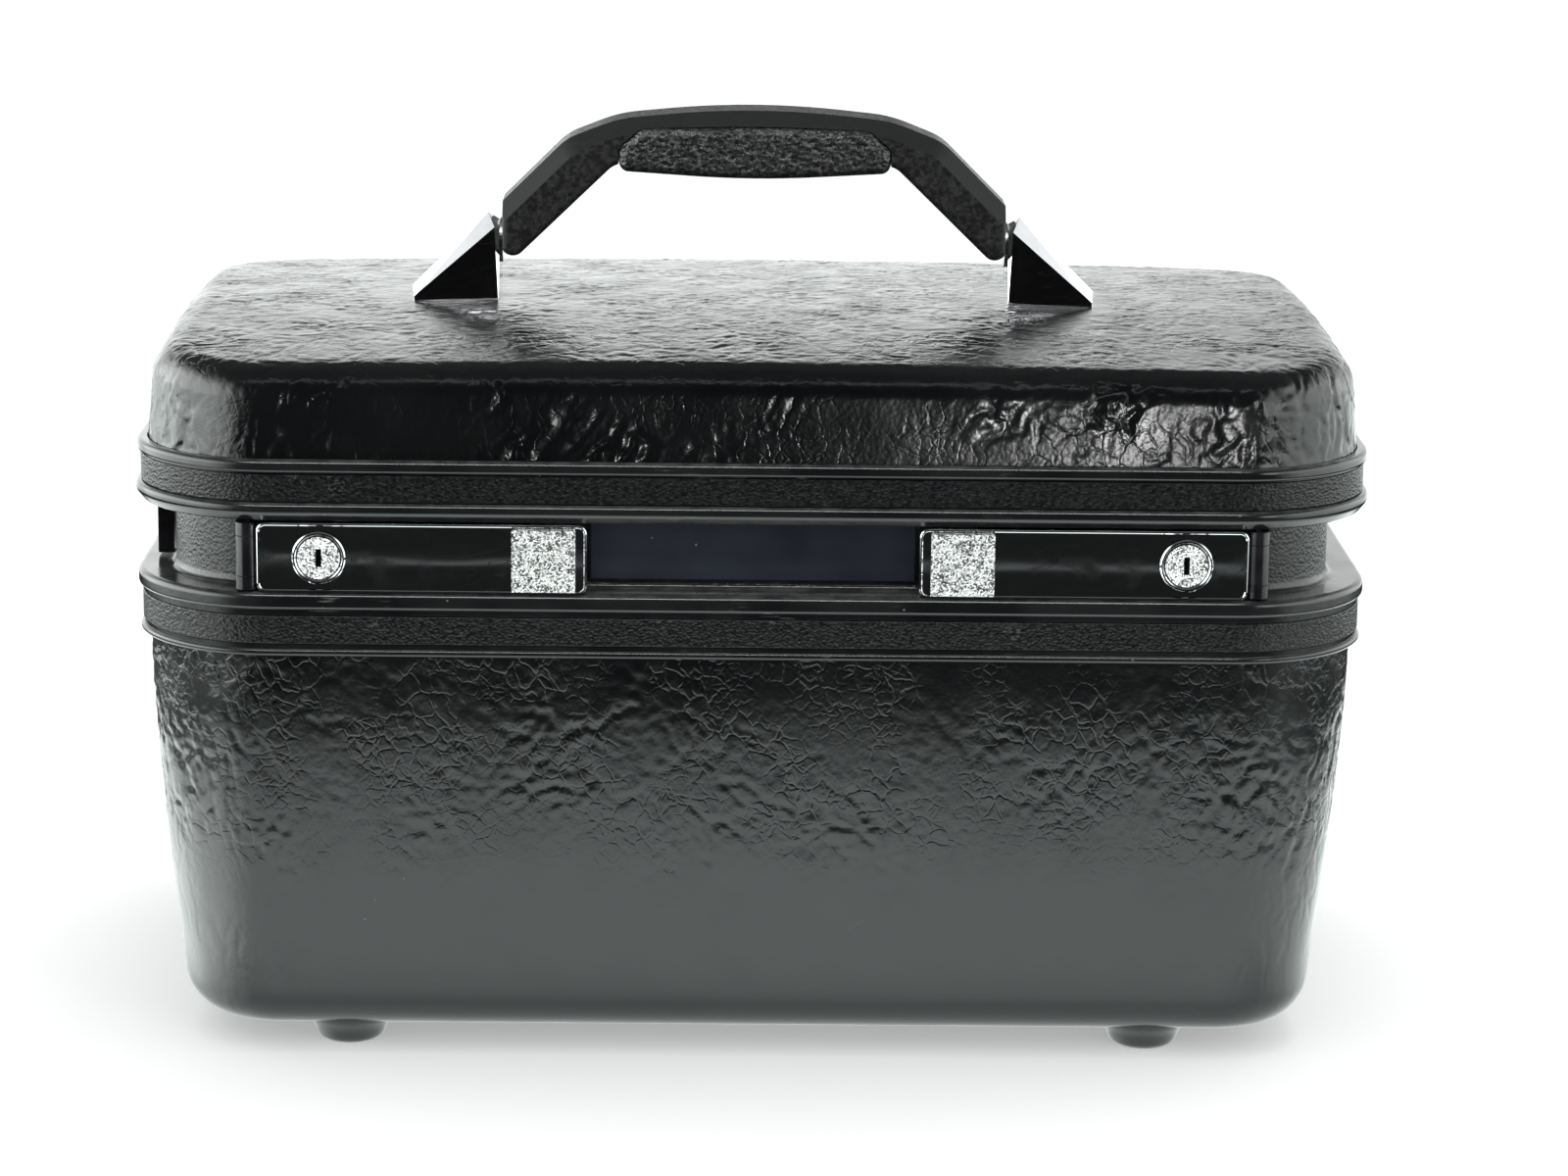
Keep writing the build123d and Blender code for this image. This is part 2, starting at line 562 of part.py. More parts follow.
def lid_block(inset, z0, drop, radius):
    """Solid lid form: inset from the outside, its crown lowered by drop."""
    side = -SIDE_INSET - inset
    profile = rounded_face([
        (-CORE_INSET, z0), (-CORE_INSET, BLOCK_TOP),
        (side - (BLOCK_TOP - SIDE_Z) * SIDE_LEAN, BLOCK_TOP), (side, SIDE_Z), (side, z0)])
    block = ring(profile) + plan_slab(CORE_INSET, z0, BLOCK_TOP)
    block = block & crown_solid(CROWN_Z - drop)
    top_edges = [edge for edge in block.edges()
                 if edge.center().Z > 190 and edge.length > 5
                 and not abs(edge.tangent_at(0.5).Z) > 0.5]
    return fillet(top_edges, radius)


def build_lid_shell(outer):
    inner = lid_block(inset=WALL, z0=150.0, drop=WALL, radius=TOP_R - WALL)
    return (outer - inner) - fuse([
        cyl_z(196, 209, side * BRACKET_SCREW_X, y, BRACKET_HOLE_R)
        for side in (-1, 1) for y in (-7.0, 7.0)])


# ---------------------------------------------------- lid: brackets and handle
PIVOT_Z = 221.5                      # handle pivot height
PIVOT_R = 2.2
BRACKET_X = 75.0                     # inner face of the right bracket
BRACKET_FOOT = 203.5                 # starts below the crown
# Corners of the faceted right bracket: x, y, z
BRACKET_CORNERS = [
    (BRACKET_X, -12.6, BRACKET_FOOT), (BRACKET_X, 12.6, BRACKET_FOOT),
    (BRACKET_X, -7.6, 225.6), (BRACKET_X, 7.6, 225.6), (BRACKET_X, 0, 227.4),
    (BRACKET_X + 1.4, -8.2, 226.2), (BRACKET_X + 1.4, 8.2, 226.2),
    (78.7, 0, 229.7),
    (99.6, -14.6, BRACKET_FOOT), (99.6, 14.6, BRACKET_FOOT), (101.0, 0, BRACKET_FOOT),
    (99.6, -14.6, 206.6), (99.6, 14.6, 206.6), (101.0, 0, 207.6)]


def build_bracket(lid_outer):
    bracket = ConvexPolyhedron(BRACKET_CORNERS)
    # guards the edge rounding: the edges stay sharp if it fails
    try:
        rounded = fillet([edge for edge in bracket.edges() if edge.center().Z > 206], 0.7)
        if is_one_solid(rounded):
            bracket = rounded
    except Exception:
        pass
    bracket = bracket - lid_outer
    bracket = bracket - cyl_x(60, 83.0, 0, PIVOT_Z, PIVOT_R)
    return cut(bracket, [cyl_z(190, 215.0, BRACKET_SCREW_X, y, BRACKET_HOLE_R)
                         for y in BRACKET_SCREWS_Y])


def build_bracket_plate():
    """Plate under the lid top, below the bracket."""
    return cut(box(76.0, 97.0, -13.0, 13.0, 200.9, 202.3), [
        cyl_z(190, 215, BRACKET_SCREW_X, y, BRACKET_HOLE_R) for y in BRACKET_SCREWS_Y])


def build_bracket_screw(y):
    return cyl_z(199.2, 214.5, BRACKET_SCREW_X, y, BRACKET_SCREW_R) + cyl_z(
        199.2, 200.88, BRACKET_SCREW_X, y, 3.5)


def build_handle_washer():
    return cyl_x(74.06, 74.96, 0, PIVOT_Z, 6.7) - cyl_x(70, 80, 0, PIVOT_Z, 2.22)


HANDLE_X = 74.0                      # handle half length
HANDLE_Y = 12.0                      # handle half thickness
SHOULDER_Z = 234.0                   # top of the upright ends
TOE_X, TOE_Z = 70.6, 217.0           # lowest corner of each leg
UNDER_X = 41.0                       # where a leg meets the grip underneath
PAD_HALF_Y = 13.4
# Side outline, over the top and back underneath: x, z, corner radius
HANDLE_OUTLINE = [
    (-HANDLE_X, 219.6, 2.0), (-HANDLE_X, SHOULDER_Z), (-55.2, 252.6, 16.0),
    (-40.0, 258.6, 40.0), (0.0, 262.6, 260.0), (40.0, 258.6, 40.0),
    (55.2, 252.6, 16.0), (HANDLE_X, SHOULDER_Z), (HANDLE_X, 219.6, 2.0),
    (TOE_X, TOE_Z, 3.7), (UNDER_X, 245.6, 7.0), (0, 247.9, 300.0),
    (-UNDER_X, 245.6, 7.0), (-TOE_X, TOE_Z, 3.7)]
# Outline of the grip pad: x, z, corner radius
PAD_OUTLINE = [
    (-39.8, 243.6, 3.0), (-39.8, 250.5, 4.0), (-33.5, 255.9, 5.0),
    (0, 257.3, 500.0), (33.5, 255.9, 5.0), (39.8, 250.5, 4.0),
    (39.8, 243.6, 3.0), (0, 241.2, 300.0)]
# Seat cut round the handle for the pad: x, z, corner radius
SEAT_OUTLINE = [
    (-40.0, 235.0), (-40.0, 250.6, 4.1), (-33.6, 256.05, 5.1),
    (0, 257.45, 500.0), (33.6, 256.05, 5.1), (40.0, 250.6, 4.1), (40.0, 235.0)]


def is_upper(x, z):
    if x > 50:
        return z > 236.5 and x < 73 and z > SHOULDER_Z + (HANDLE_X - x) * 0.99 - 5
    return z > 255


def is_lower(x, z):
    return z < (TOE_Z + (TOE_X - x) * 0.966 + 4 if x > UNDER_X else 249.5)


def outline_edges(handle, wanted):
    """Front and back outline edges, less the upright ends, for which
    wanted(distance from the middle, height) holds."""
    chosen = []
    for edge in handle.edges():
        centre = edge.center()
        x = abs(centre.X)
        on_face = abs(abs(centre.Y) - HANDLE_Y) < 1e-3 and abs(edge.tangent_at(0.5).Y) < 0.1
        if on_face and x < HANDLE_X - 0.2 and wanted(x, centre.Z):
            chosen.append(edge)
    return chosen


def build_handle_core():
    """Chamfered along the top, rounded underneath, waisted for the pad."""
    handle = prism_y(rounded_face(HANDLE_OUTLINE), -HANDLE_Y, HANDLE_Y)
    handle = chamfer(outline_edges(handle, is_upper), 4.4)
    lower_edges = outline_edges(handle, is_lower)
    for radius in (3.4, 3.0, 2.4, 1.8):
        # guards the rounding: a failed radius gives way to the next smaller
        try:
            rounded = fillet(lower_edges, radius)
        except Exception:
            continue
        if is_one_solid(rounded):
            handle = rounded
            break
    handle = handle - cyl_x(68.8, 80, 0, PIVOT_Z, 2.25) - cyl_x(-80, -68.8, 0, PIVOT_Z, 2.25)
    seat = prism_y(rounded_face(SEAT_OUTLINE), -20, 20)
    stem = box(-45.0, 45.0, -8.0, 8.0, 248.6, 270.0)
    return handle - (seat - stem)


def build_grip_pad():
    """Wraps the front, underside and back of the grip."""
    pad = prism_y(rounded_face(PAD_OUTLINE), -PAD_HALF_Y, PAD_HALF_Y)
    side_edges = [edge for edge in pad.edges()
                  if abs(abs(edge.center().Y) - PAD_HALF_Y) < 1e-3]
    # guards the rounding: the pad stays square-edged if it fails
    try:
        rounded = fillet(side_edges, 2.6)
        if rounded.is_valid:
            pad = rounded
    except Exception:
        pass
    return pad - box(-45, 45, -8.1, 8.1, 248.5, 270)


# ------------------------------------------------------ lid: lining and mirror
def build_lid_lining():
    side, bottom, top, radius = -10.2, 164.0, 198.4, 14.0
    under = top - LINING_T
    profile = rounded_face([
        (-CORE_INSET, top), (side, top, radius), (side, bottom), (side - LINING_T, bottom),
        (side - LINING_T, under, radius - LINING_T), (-CORE_INSET, under)])
    return ring(profile) + plan_slab(CORE_INSET, under, top)


GLASS_W, GLASS_D, GLASS_R = 240, 124, 10


def build_mirror_frame():
    """Frame with an opening below and a wider rebate for the glass above."""
    frame = slab(248, 132, 14, 193.2, 196.7)
    frame = frame - slab(236, 120, 9, 190, 194.3)
    return frame - slab(GLASS_W + 0.2, GLASS_D + 0.2, GLASS_R + 0.1, 194.25, 199.25)


# --------------------------------------------------- base: tray, rails, pocket
TRAY_INSET = 15.6                    # tray lip, in from the rim line
TRAY_BODY_INSET = TRAY_INSET + 3.0
TRAY_Z0, TRAY_Z1, TRAY_T = 103.5, 134.0, 2.0


def build_tray_rail():
    rail = prism_y(rounded_face([
        (152.0, 101.5, 0.6), (163.2, 101.5), (163.2, 133.8), (166.0, 133.8),
        (166.0, 135.25), (161.7, 135.25), (161.7, 103.3), (152.0, 103.3, 0.6)]),
        -58.0, 58.0)
    return cut(rail, [cyl_z(130, 140, RAIL_SCREW_X, y, RAIL_HOLE_R) for y in RAIL_SCREWS_Y])


def build_rail_screw(y):
    return cyl_z(132.6, 137.0, RAIL_SCREW_X, y, 0.9) + cyl_z(
        132.6, 133.78, RAIL_SCREW_X, y, 1.15)


def build_tray():
    """Lipped tray: one divider along X, two in front of it, one behind."""
    inside = TRAY_BODY_INSET + TRAY_T
    tray = plan_slab(TRAY_BODY_INSET, TRAY_Z0, TRAY_Z1) - plan_slab(
        inside, TRAY_Z0 + TRAY_T, TRAY_Z1 + 1)
    tray = tray + (plan_slab(TRAY_INSET, TRAY_Z1 - 1.6, TRAY_Z1)
                   - plan_slab(inside, TRAY_Z1 - 3, TRAY_Z1 + 1))
    reach_x, reach_y = HALF_W - inside + 0.5, HALF_D - inside + 0.5
    for x0, x1, y0, y1 in ((-reach_x, reach_x, -1.0, 1.0), (-53.0, -51.0, -reach_y, 0.5),
                           (51.0, 53.0, -reach_y, 0.5), (-1.0, 1.0, -0.5, reach_y)):
        tray = tray + box(x0, x1, y0, y1, TRAY_Z0 + 1, TRAY_Z1 - 4)
    return tray


def build_pocket_back():
    return prism_x(rounded_face([(82.0, 40.0, 3.0), (90.6, 40.0, 2.0), (92.6, 96.0, 1.5),
                                 (84.0, 96.0, 1.5)]), -124.0, 124.0)


# ---------------------------------------------------------------------- export
lid_outer = lid_block(inset=0.0, z0=161.3, drop=0.0, radius=TOP_R)

for name, part in (
    ("base_shell", build_base_shell()),
    ("base_frame", build_base_frame()),
    ("base_band", build_band(123.4, 131.3)),
    ("base_lining", build_base_lining()),
    ("centre_panel", build_centre_panel()),
    ("tray", build_tray()),
    ("pocket_back", build_pocket_back()),
    ("lid_frame", build_lid_frame()),
    ("lid_band", build_band(163.5, 171.3)),
    ("lid_stay", build_lid_stay()),
    ("stay_lug_pin", build_stay_lug_pin()),
    ("stay_pivot", build_stay_pivot()),
    ("lid_shell", build_lid_shell(lid_outer)),
    ("lid_lining", build_lid_lining()),
    ("mirror_frame", build_mirror_frame()),
    ("mirror_glass", slab(GLASS_W, GLASS_D, GLASS_R, 194.3, 196.6)),
    ("handle_core", build_handle_core()),
    ("grip_pad", build_grip_pad()),
):
    save(name, part)

for name, part in (
    ("latch_housing", build_latch_housing()),
    ("latch_lever", build_latch_lever()),
    ("latch_pin", cyl_z(138.75, 157.45, LATCH_X, LATCH_Y, 1.0)),
    ("latch_faceplate", build_latch_faceplate()),
    ("thumb_slide", build_thumb_slide()),
    ("latch_bolt", build_latch_bolt()),
    ("latch_spring", build_latch_spring()),
    ("lock_ring", build_lock_ring()),
    ("lock_cylinder", build_lock_cylinder()),
    ("lock_cam", build_lock_cam()),
    ("lid_strike", build_lid_strike()),
    ("hinge_base_leaf", build_hinge_base_leaf()),
    ("hinge_lid_leaf", build_hinge_lid_leaf()),
    ("hinge_pin", build_hinge_pin()),
    ("bracket", build_bracket(lid_outer)),
    ("bracket_plate", build_bracket_plate()),
    ("tray_rail", build_tray_rail()),
):
    save_pair(name, part)

for name, parts in (
    ("latch_rivets", [build_latch_rivet(x) for x in LATCH_RIVETS_X]),
    ("hinge_base_rivets", [build_hinge_base_rivet(x) for x in HINGE_RIVETS_X]),
    ("hinge_lid_rivets", [build_hinge_lid_rivet(x) for x in HINGE_RIVETS_X]),
    ("bracket_screws", [build_bracket_screw(y) for y in BRACKET_SCREWS_Y]),
    ("handle_pins", [cyl_x(69.0, 82.98, 0, PIVOT_Z, PIVOT_R)]),
    ("handle_washers", [build_handle_washer()]),
    ("tray_rail_screws", [build_rail_screw(y) for y in RAIL_SCREWS_Y]),
):
    save_set(name, parts)
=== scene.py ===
# A small hard carrying case, closed: a black leather-grained tub on four feet and a
# grained lid, both lined with quilted cloth, with a gathered pocket inside the rear wall.
# It stands on z = 0, centred on x and y, front towards -y and left towards -x.
# Shapes are worked out in millimetres and turned to metres when a mesh is made.
import json
import math

import bmesh
import bpy
import numpy as np
from mathutils import Matrix, Vector


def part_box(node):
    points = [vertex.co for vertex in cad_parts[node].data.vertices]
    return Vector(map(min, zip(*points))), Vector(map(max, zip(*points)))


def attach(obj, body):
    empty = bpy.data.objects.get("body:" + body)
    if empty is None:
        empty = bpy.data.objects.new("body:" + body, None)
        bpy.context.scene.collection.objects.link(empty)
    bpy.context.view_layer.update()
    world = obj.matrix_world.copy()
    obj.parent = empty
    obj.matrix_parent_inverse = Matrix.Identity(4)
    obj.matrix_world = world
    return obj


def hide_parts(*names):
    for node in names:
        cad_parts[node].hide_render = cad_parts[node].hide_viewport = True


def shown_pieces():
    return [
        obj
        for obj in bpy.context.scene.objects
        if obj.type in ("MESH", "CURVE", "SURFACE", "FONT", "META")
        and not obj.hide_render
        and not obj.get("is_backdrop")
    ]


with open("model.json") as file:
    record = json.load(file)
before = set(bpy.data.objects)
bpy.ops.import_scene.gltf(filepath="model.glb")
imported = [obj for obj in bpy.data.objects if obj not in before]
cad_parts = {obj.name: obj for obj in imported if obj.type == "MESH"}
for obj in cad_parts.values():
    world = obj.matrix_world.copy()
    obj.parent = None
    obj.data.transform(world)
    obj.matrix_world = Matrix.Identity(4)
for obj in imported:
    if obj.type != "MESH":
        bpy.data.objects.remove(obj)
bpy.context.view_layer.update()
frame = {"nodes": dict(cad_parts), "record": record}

NODES = frame["nodes"]
MM = 0.001

# The case is a rounded rectangle in plan; every wall is an inset of it.
HALF_WIDTH, HALF_DEPTH = (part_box("lid_frame")[1][axis] / MM for axis in (0, 1))
CORNER_R = 41.6
SHELL_T = 2.6                   # wall thickness of tub and lid

# Cells along one long and one short side, and the rows up the walls
FRONT_CELLS, SIDE_CELLS = ((370, 230))
TUB_ROW_STEP = 0.95
LID_WALL_ROWS, LID_ARC_ROWS = ((26, 18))
LINING_FRONT_CELLS, LINING_SIDE_CELLS = 170, 104


# ---------------------------------------------------------------------- noise
GRADIENTS = np.array([
    [1, 1, 0], [-1, 1, 0], [1, -1, 0], [-1, -1, 0], [1, 0, 1], [-1, 0, 1],
    [1, 0, -1], [-1, 0, -1], [0, 1, 1], [0, -1, 1], [0, 1, -1], [0, -1, -1],
    [1, 1, 0], [-1, 1, 0], [0, -1, 1], [0, -1, -1]], float)


def smooth(start, end, x):
    t = np.clip((x - start) / (end - start), 0, 1)
    return t * t * (3 - 2 * t)


def cell_hash(x, y, z, seed):
    """A scrambled whole number for each lattice cell."""
    h = (x * 73856093) ^ (y * 19349663) ^ (z * 83492791) ^ (seed * 40503 + 977)
    h = (h ^ (h >> 13)) & 0x7FFFFFFF
    h = (h * 1274126177) & 0x7FFFFFFFFFFF
    return h ^ (h >> 16)


def gradient_noise(points, seed):
    """Gradient noise at points (n, 3), about -0.7 to 0.7."""
    floor = np.floor(points)
    cell = floor.astype(np.int64)
    t = points - floor
    ease = t * t * t * (t * (t * 6 - 15) + 10)
    out = np.zeros(len(points))
    for dx in (0, 1):
        for dy in (0, 1):
            for dz in (0, 1):
                pick = cell_hash(cell[:, 0] + dx, cell[:, 1] + dy, cell[:, 2] + dz, seed) & 15
                g = GRADIENTS[pick]
                slope = (g[:, 0] * (t[:, 0] - dx) + g[:, 1] * (t[:, 1] - dy)
                         + g[:, 2] * (t[:, 2] - dz))
                out += slope * (ease[:, 0] if dx else 1 - ease[:, 0]) * (
                    ease[:, 1] if dy else 1 - ease[:, 1]) * (
                    ease[:, 2] if dz else 1 - ease[:, 2])
    return out


def crackle(points, cell, along, stretch, seed, width, gaps=1.0):
    """A net of folds: the borders of warped cells drawn out along a direction.
    -1 on a border, a small lip beside it, 0 inside a cell. Millimetres."""
    along = np.array(along, float)
    along /= np.linalg.norm(along)
    coarse = np.stack([gradient_noise(points / 12.0 + 31.7 * k, seed + 11 + k)
                       for k in range(3)], 1)
    fine = np.stack([gradient_noise(points / 3.6 + 17.3 * k, seed + 21 + k)
                     for k in range(3)], 1)
    q = points + (0.75 * cell * coarse + 0.22 * cell * fine)
    q = (q - np.outer((q @ along) * (1 - 1 / stretch), along)) / cell
    base = np.floor(q).astype(np.int64)
    nearest = np.full(len(points), 9.0)
    second = np.full(len(points), 9.0)
    for dx in (-1, 0, 1):
        for dy in (-1, 0, 1):
            for dz in (-1, 0, 1):
                cx, cy, cz = base[:, 0] + dx, base[:, 1] + dy, base[:, 2] + dz
                h = cell_hash(cx, cy, cz, seed)
                r2 = ((cx + (h & 1023) / 1024.0 - q[:, 0]) ** 2
                      + (cy + ((h >> 10) & 1023) / 1024.0 - q[:, 1]) ** 2
                      + (cz + ((h >> 20) & 1023) / 1024.0 - q[:, 2]) ** 2)
                second = np.where(r2 < nearest, nearest, np.minimum(second, r2))
                nearest = np.where(r2 < nearest, r2, nearest)
    edge = (np.sqrt(second) - np.sqrt(nearest)) * cell
    valley = np.exp(-(edge / width) ** 2)
    lip = np.exp(-((edge - 2.3 * width) / (1.1 * width)) ** 2)
    patches = gradient_noise(points / (2.6 * cell) + 5.1, seed + 3)
    broken = 1 - gaps * (1 - smooth(-0.20, 0.12, patches))
    return (-valley + 0.42 * lip) * broken


# ------------------------------------------------------------- paths and rings
def case_outline(front_cells, side_cells):
    """Columns round the case: points on the case line and their outward normals,
    anticlockwise from the middle of the front left corner."""
    points, normals = [], []
    half_arc = math.pi * CORNER_R / 4
    front = (front_cells, 2 * (HALF_WIDTH - CORNER_R))
    flank = (side_cells, 2 * (HALF_DEPTH - CORNER_R))
    for side, (cells, straight) in enumerate((front, flank, front, flank)):
        total = straight + 2 * half_arc
        half = HALF_DEPTH if side % 2 == 0 else HALF_WIDTH
        for k in range(cells):
            s = total * k / cells
            if s < half_arc:
                angle, offset = -math.pi / 4 + s / CORNER_R, -straight / 2
            elif s <= half_arc + straight:
                angle, offset = 0.0, s - half_arc - straight / 2
            else:
                angle, offset = (s - half_arc - straight) / CORNER_R, straight / 2
            x = offset + CORNER_R * math.sin(angle)
            y = -(half - CORNER_R) - CORNER_R * math.cos(angle)
            nx, ny = math.sin(angle), -math.cos(angle)
            for _ in range(side):
                x, y, nx, ny = -y, x, -ny, nx
            points.append((x, y))
            normals.append((nx, ny))
    return np.array(points), np.array(normals)


def round_path(corners, step):
    """Open path of corners as points. The end corners are (a, b), those between are
    (a, b, radius), with arcs sampled at about step."""
    out = []
    for k, corner in enumerate(corners):
        c = np.array(corner[:2], float)
        if k in (0, len(corners) - 1):
            out.append(c)
            continue
        r = corner[2]
        a = np.array(corners[k - 1][:2], float) - c
        b = np.array(corners[k + 1][:2], float) - c
        a /= np.linalg.norm(a)
        b /= np.linalg.norm(b)
        half = math.acos(max(-1, min(1, a @ b))) / 2
        reach = r / math.tan(half)
        middle = (a + b) / np.linalg.norm(a + b)
        centre = c + middle * (r / math.sin(half))
        v0, v1 = c + a * reach - centre, c + b * reach - centre
        turn = math.pi - 2 * half
        n = max(2, int(math.ceil(turn * r / step)))
        for j in range(n + 1):
            w = j / n
            s0, s1 = math.sin((1 - w) * turn), math.sin(w * turn)
            out.append(centre + (v0 * s0 + v1 * s1) / math.sin(turn))
    return np.array(out)


def run_length(path):
    """Distance along a path at each of its points."""
    return np.r_[0, np.cumsum(np.linalg.norm(np.diff(path, axis=0), axis=1))]


def resample(path, stops):
    """Path points at the distances that stops gives for the total length."""
    d = run_length(path)
    s = stops(d[-1])
    return np.stack([np.interp(s, d, path[:, 0]), np.interp(s, d, path[:, 1])], 1)


def sweep(points, normals, profile):
    """Rings round the case, one for each (outward offset, z) of the profile."""
    return [np.c_[points + normals * u, np.full(len(points), z)] for u, z in profile]


def shrink(ring, factors, height_at=None):
    """Copies of a ring drawn in towards the z axis."""
    out = []
    for factor in factors:
        row = ring.copy()
        row[:, :2] *= factor
        if height_at is not None:
            row[:, 2] = height_at(row[:, 0], row[:, 1])
        out.append(row)
    return out


def tub_wall(inset, top, bend_r, foot_r, floor_u):
    """Tub section from the top down and in over the floor: (offset, z, radius)."""
    floor_z = 6.5 + inset
    return [(-3.6 - inset, top), (-3.6 - inset, 107.0, bend_r), (-7.2 - inset, 59.0, bend_r),
            (-13.1 - inset, floor_z, foot_r), (floor_u, floor_z)]


# --------------------------------------------------------------------- meshes
def add_solid(bm, mesh):
    """Move a bmesh into a mesh and link it as a smooth object."""
    bmesh.ops.recalc_face_normals(bm, faces=bm.faces)
    bm.to_mesh(mesh)
    bm.free()
    mesh.polygons.foreach_set("use_smooth", [True] * len(mesh.polygons))
    ob = bpy.data.objects.new(mesh.name, mesh)
    bpy.context.scene.collection.objects.link(ob)
    return ob


def solid_from(name, verts, faces):
    mesh = bpy.data.meshes.new(name)
    mesh.from_pydata((verts * MM).tolist(), [], faces)
    bm = bmesh.new()
    bm.from_mesh(mesh)
    return add_solid(bm, mesh)


def band(n, first, second, flip=False):
    """Quads between two rings of n vertices that start at first and second."""
    idx = np.arange(n)
    nxt = (idx + 1) % n
    quad = [first + idx, first + nxt, second + nxt, second + idx]
    return list(map(tuple, np.stack(quad[::-1] if flip else quad, 1).tolist()))


def closed_mesh(name, outer, inner):
    """A closed shell from two stacks of rings, joined at their first rings and
    closed by a fan at their last."""
    n = len(outer[0])
    n_outer, n_inner = len(outer), len(inner)
    centres = [(0, 0, rings[-1][0, 2]) for rings in (outer, inner)]
    verts = np.concatenate(outer + inner + [np.array(centres, float)])
    faces = []
    for k in range(n_outer - 1):
        faces += band(n, k * n, (k + 1) * n)
    for k in range(n_outer, n_outer + n_inner - 1):
        faces += band(n, k * n, (k + 1) * n, flip=True)
    faces += band(n, n_outer * n, 0)
    centre_outer, centre_inner = len(verts) - 2, len(verts) - 1
    last_outer, last_inner = (n_outer - 1) * n, (n_outer + n_inner - 1) * n
    for k in range(n):
        nxt = (k + 1) % n
        faces.append((last_outer + k, last_outer + nxt, centre_outer))
        faces.append((last_inner + nxt, last_inner + k, centre_inner))
    return solid_from(name, verts, faces)


def read_mesh(ob):
    """Vertex places in millimetres, and vertex normals."""
    co = np.zeros(len(ob.data.vertices) * 3)
    ob.data.vertices.foreach_get("co", co)
    normals = np.zeros(len(ob.data.vertices) * 3, np.float32)
    ob.data.vertex_normals.foreach_get("vector", normals)
    return co.reshape(-1, 3) / MM, normals.reshape(-1, 3).astype(float)


def write_mesh(ob, co):
    ob.data.vertices.foreach_set("co", (co * MM).ravel())
    ob.data.update()


def lathe(name, profile, cx, cy, seg=56):
    """Turn (radius, z) points about an upright axis at (cx, cy)."""
    bm = bmesh.new()
    rings = []
    for r, z in profile:
        if r < 1e-6:
            rings.append([bm.verts.new((cx * MM, cy * MM, z * MM))])
        else:
            rings.append([bm.verts.new(((cx + r * math.cos(2 * math.pi * k / seg)) * MM,
                                        (cy + r * math.sin(2 * math.pi * k / seg)) * MM,
                                        z * MM)) for k in range(seg)])
    for a, b in zip(rings, rings[1:]):
        for k in range(seg):
            j = (k + 1) % seg
            if len(a) == 1:
                bm.faces.new((a[0], b[j], b[k]))
            elif len(b) == 1:
                bm.faces.new((a[k], a[j], b[0]))
            else:
                bm.faces.new((a[k], a[j], b[j], b[k]))
    return add_solid(bm, bpy.data.meshes.new(name))


# --------------------------------------------------------------- leather folds
FOLD_SPLIT_Z = 150              # tub below, lid above


def folds(p, up):
    """Fold height in millimetres at points p; up is how far the face looks up."""
    x, y, z = p.T
    on_lid = z > FOLD_SPLIT_Z
    side = 1 - smooth(0.55, 0.85, up)
    top = 1 - side
    low = 0.04 + 0.96 * smooth(40, 80, z)        # folds fade towards the tub floor
    h = np.zeros(len(p))
    # upright folds, strongest round the corners
    corner = smooth(95, 140, np.abs(x))
    upright = side * (0.05 + 0.95 * corner) * (0.30 + 0.70 * low) * crackle(
        p, cell=6.5, along=(0.06, 0.08, 1), stretch=4.5, seed=3, width=0.80, gaps=0.8)
    # weights, by region, of slanting folds that lean to the right and to the left
    rightward = smooth(-84, -68, x) * smooth(-18, -34, x) + 0.75 * smooth(25, 50, x)
    leftward = smooth(-68, -84, x) + smooth(-34, -18, x) * (1 - 0.3 * smooth(25, 50, x))
    rightward = np.where(on_lid, 1.15 - 0.3 * smooth(60, 90, x), rightward)
    leftward = np.where(on_lid, 0.10 + 0.8 * smooth(50, 90, x), leftward)
    # calmer high on the tub, from left of the middle rightwards
    quiet = np.where(on_lid, 1.0, 1 - 0.65 * smooth(99, 113, z) * smooth(-60, -20, x))
    h += side * low * quiet * rightward * crackle(
        p, cell=8.5, along=(0.60, 0.1, 0.80), stretch=2.9, seed=27, width=0.85)
    h += side * low * quiet * leftward * crackle(
        p, cell=8.5, along=(0.60, 0.1, -0.80), stretch=2.9, seed=14, width=0.85)
    # a fine net between them
    h += side * low * quiet * np.where(on_lid, 0.12, 0.45) * crackle(
        p, cell=4.6, along=(0.2, 0.2, 1), stretch=1.4, seed=41, width=0.62)
    # calm and busy patches, on the lid walls and then everywhere
    lid_patches = smooth(-0.08, 0.16, gradient_noise(p / 27.0 + 9.0, 55))
    h *= np.where(on_lid, 0.30 + 0.90 * lid_patches, 1.0)
    h += upright * np.where(on_lid, 1.5, 1.0)
    h = h * (0.45 + 0.55 * smooth(-0.22, 0.25, gradient_noise(p / 38.0 + 3.3, 101)))
    # the lid top is crinkled both ways, evenly
    h += top * 0.60 * crackle(
        p, cell=8.0, along=(0.82, 0.57, 0), stretch=2.0, seed=61, width=0.85, gaps=0.6)
    h += top * 0.50 * crackle(
        p, cell=5.6, along=(0.9, -0.45, 0), stretch=1.7, seed=74, width=0.75, gaps=0.6)
    # slow unevenness of a moulded sheet
    h += side * (0.16 * gradient_noise(p / 19.0, 120)
                 + 0.06 * low * gradient_noise(p / 6.5, 121)
                 ) + top * 0.10 * gradient_noise(p / 24.0, 122)
    return h


# --------------------------------------------------------------- tub and feet
CASE_LINE, CASE_NORMALS = case_outline(FRONT_CELLS, SIDE_CELLS)
TUB_TOP = 135.2


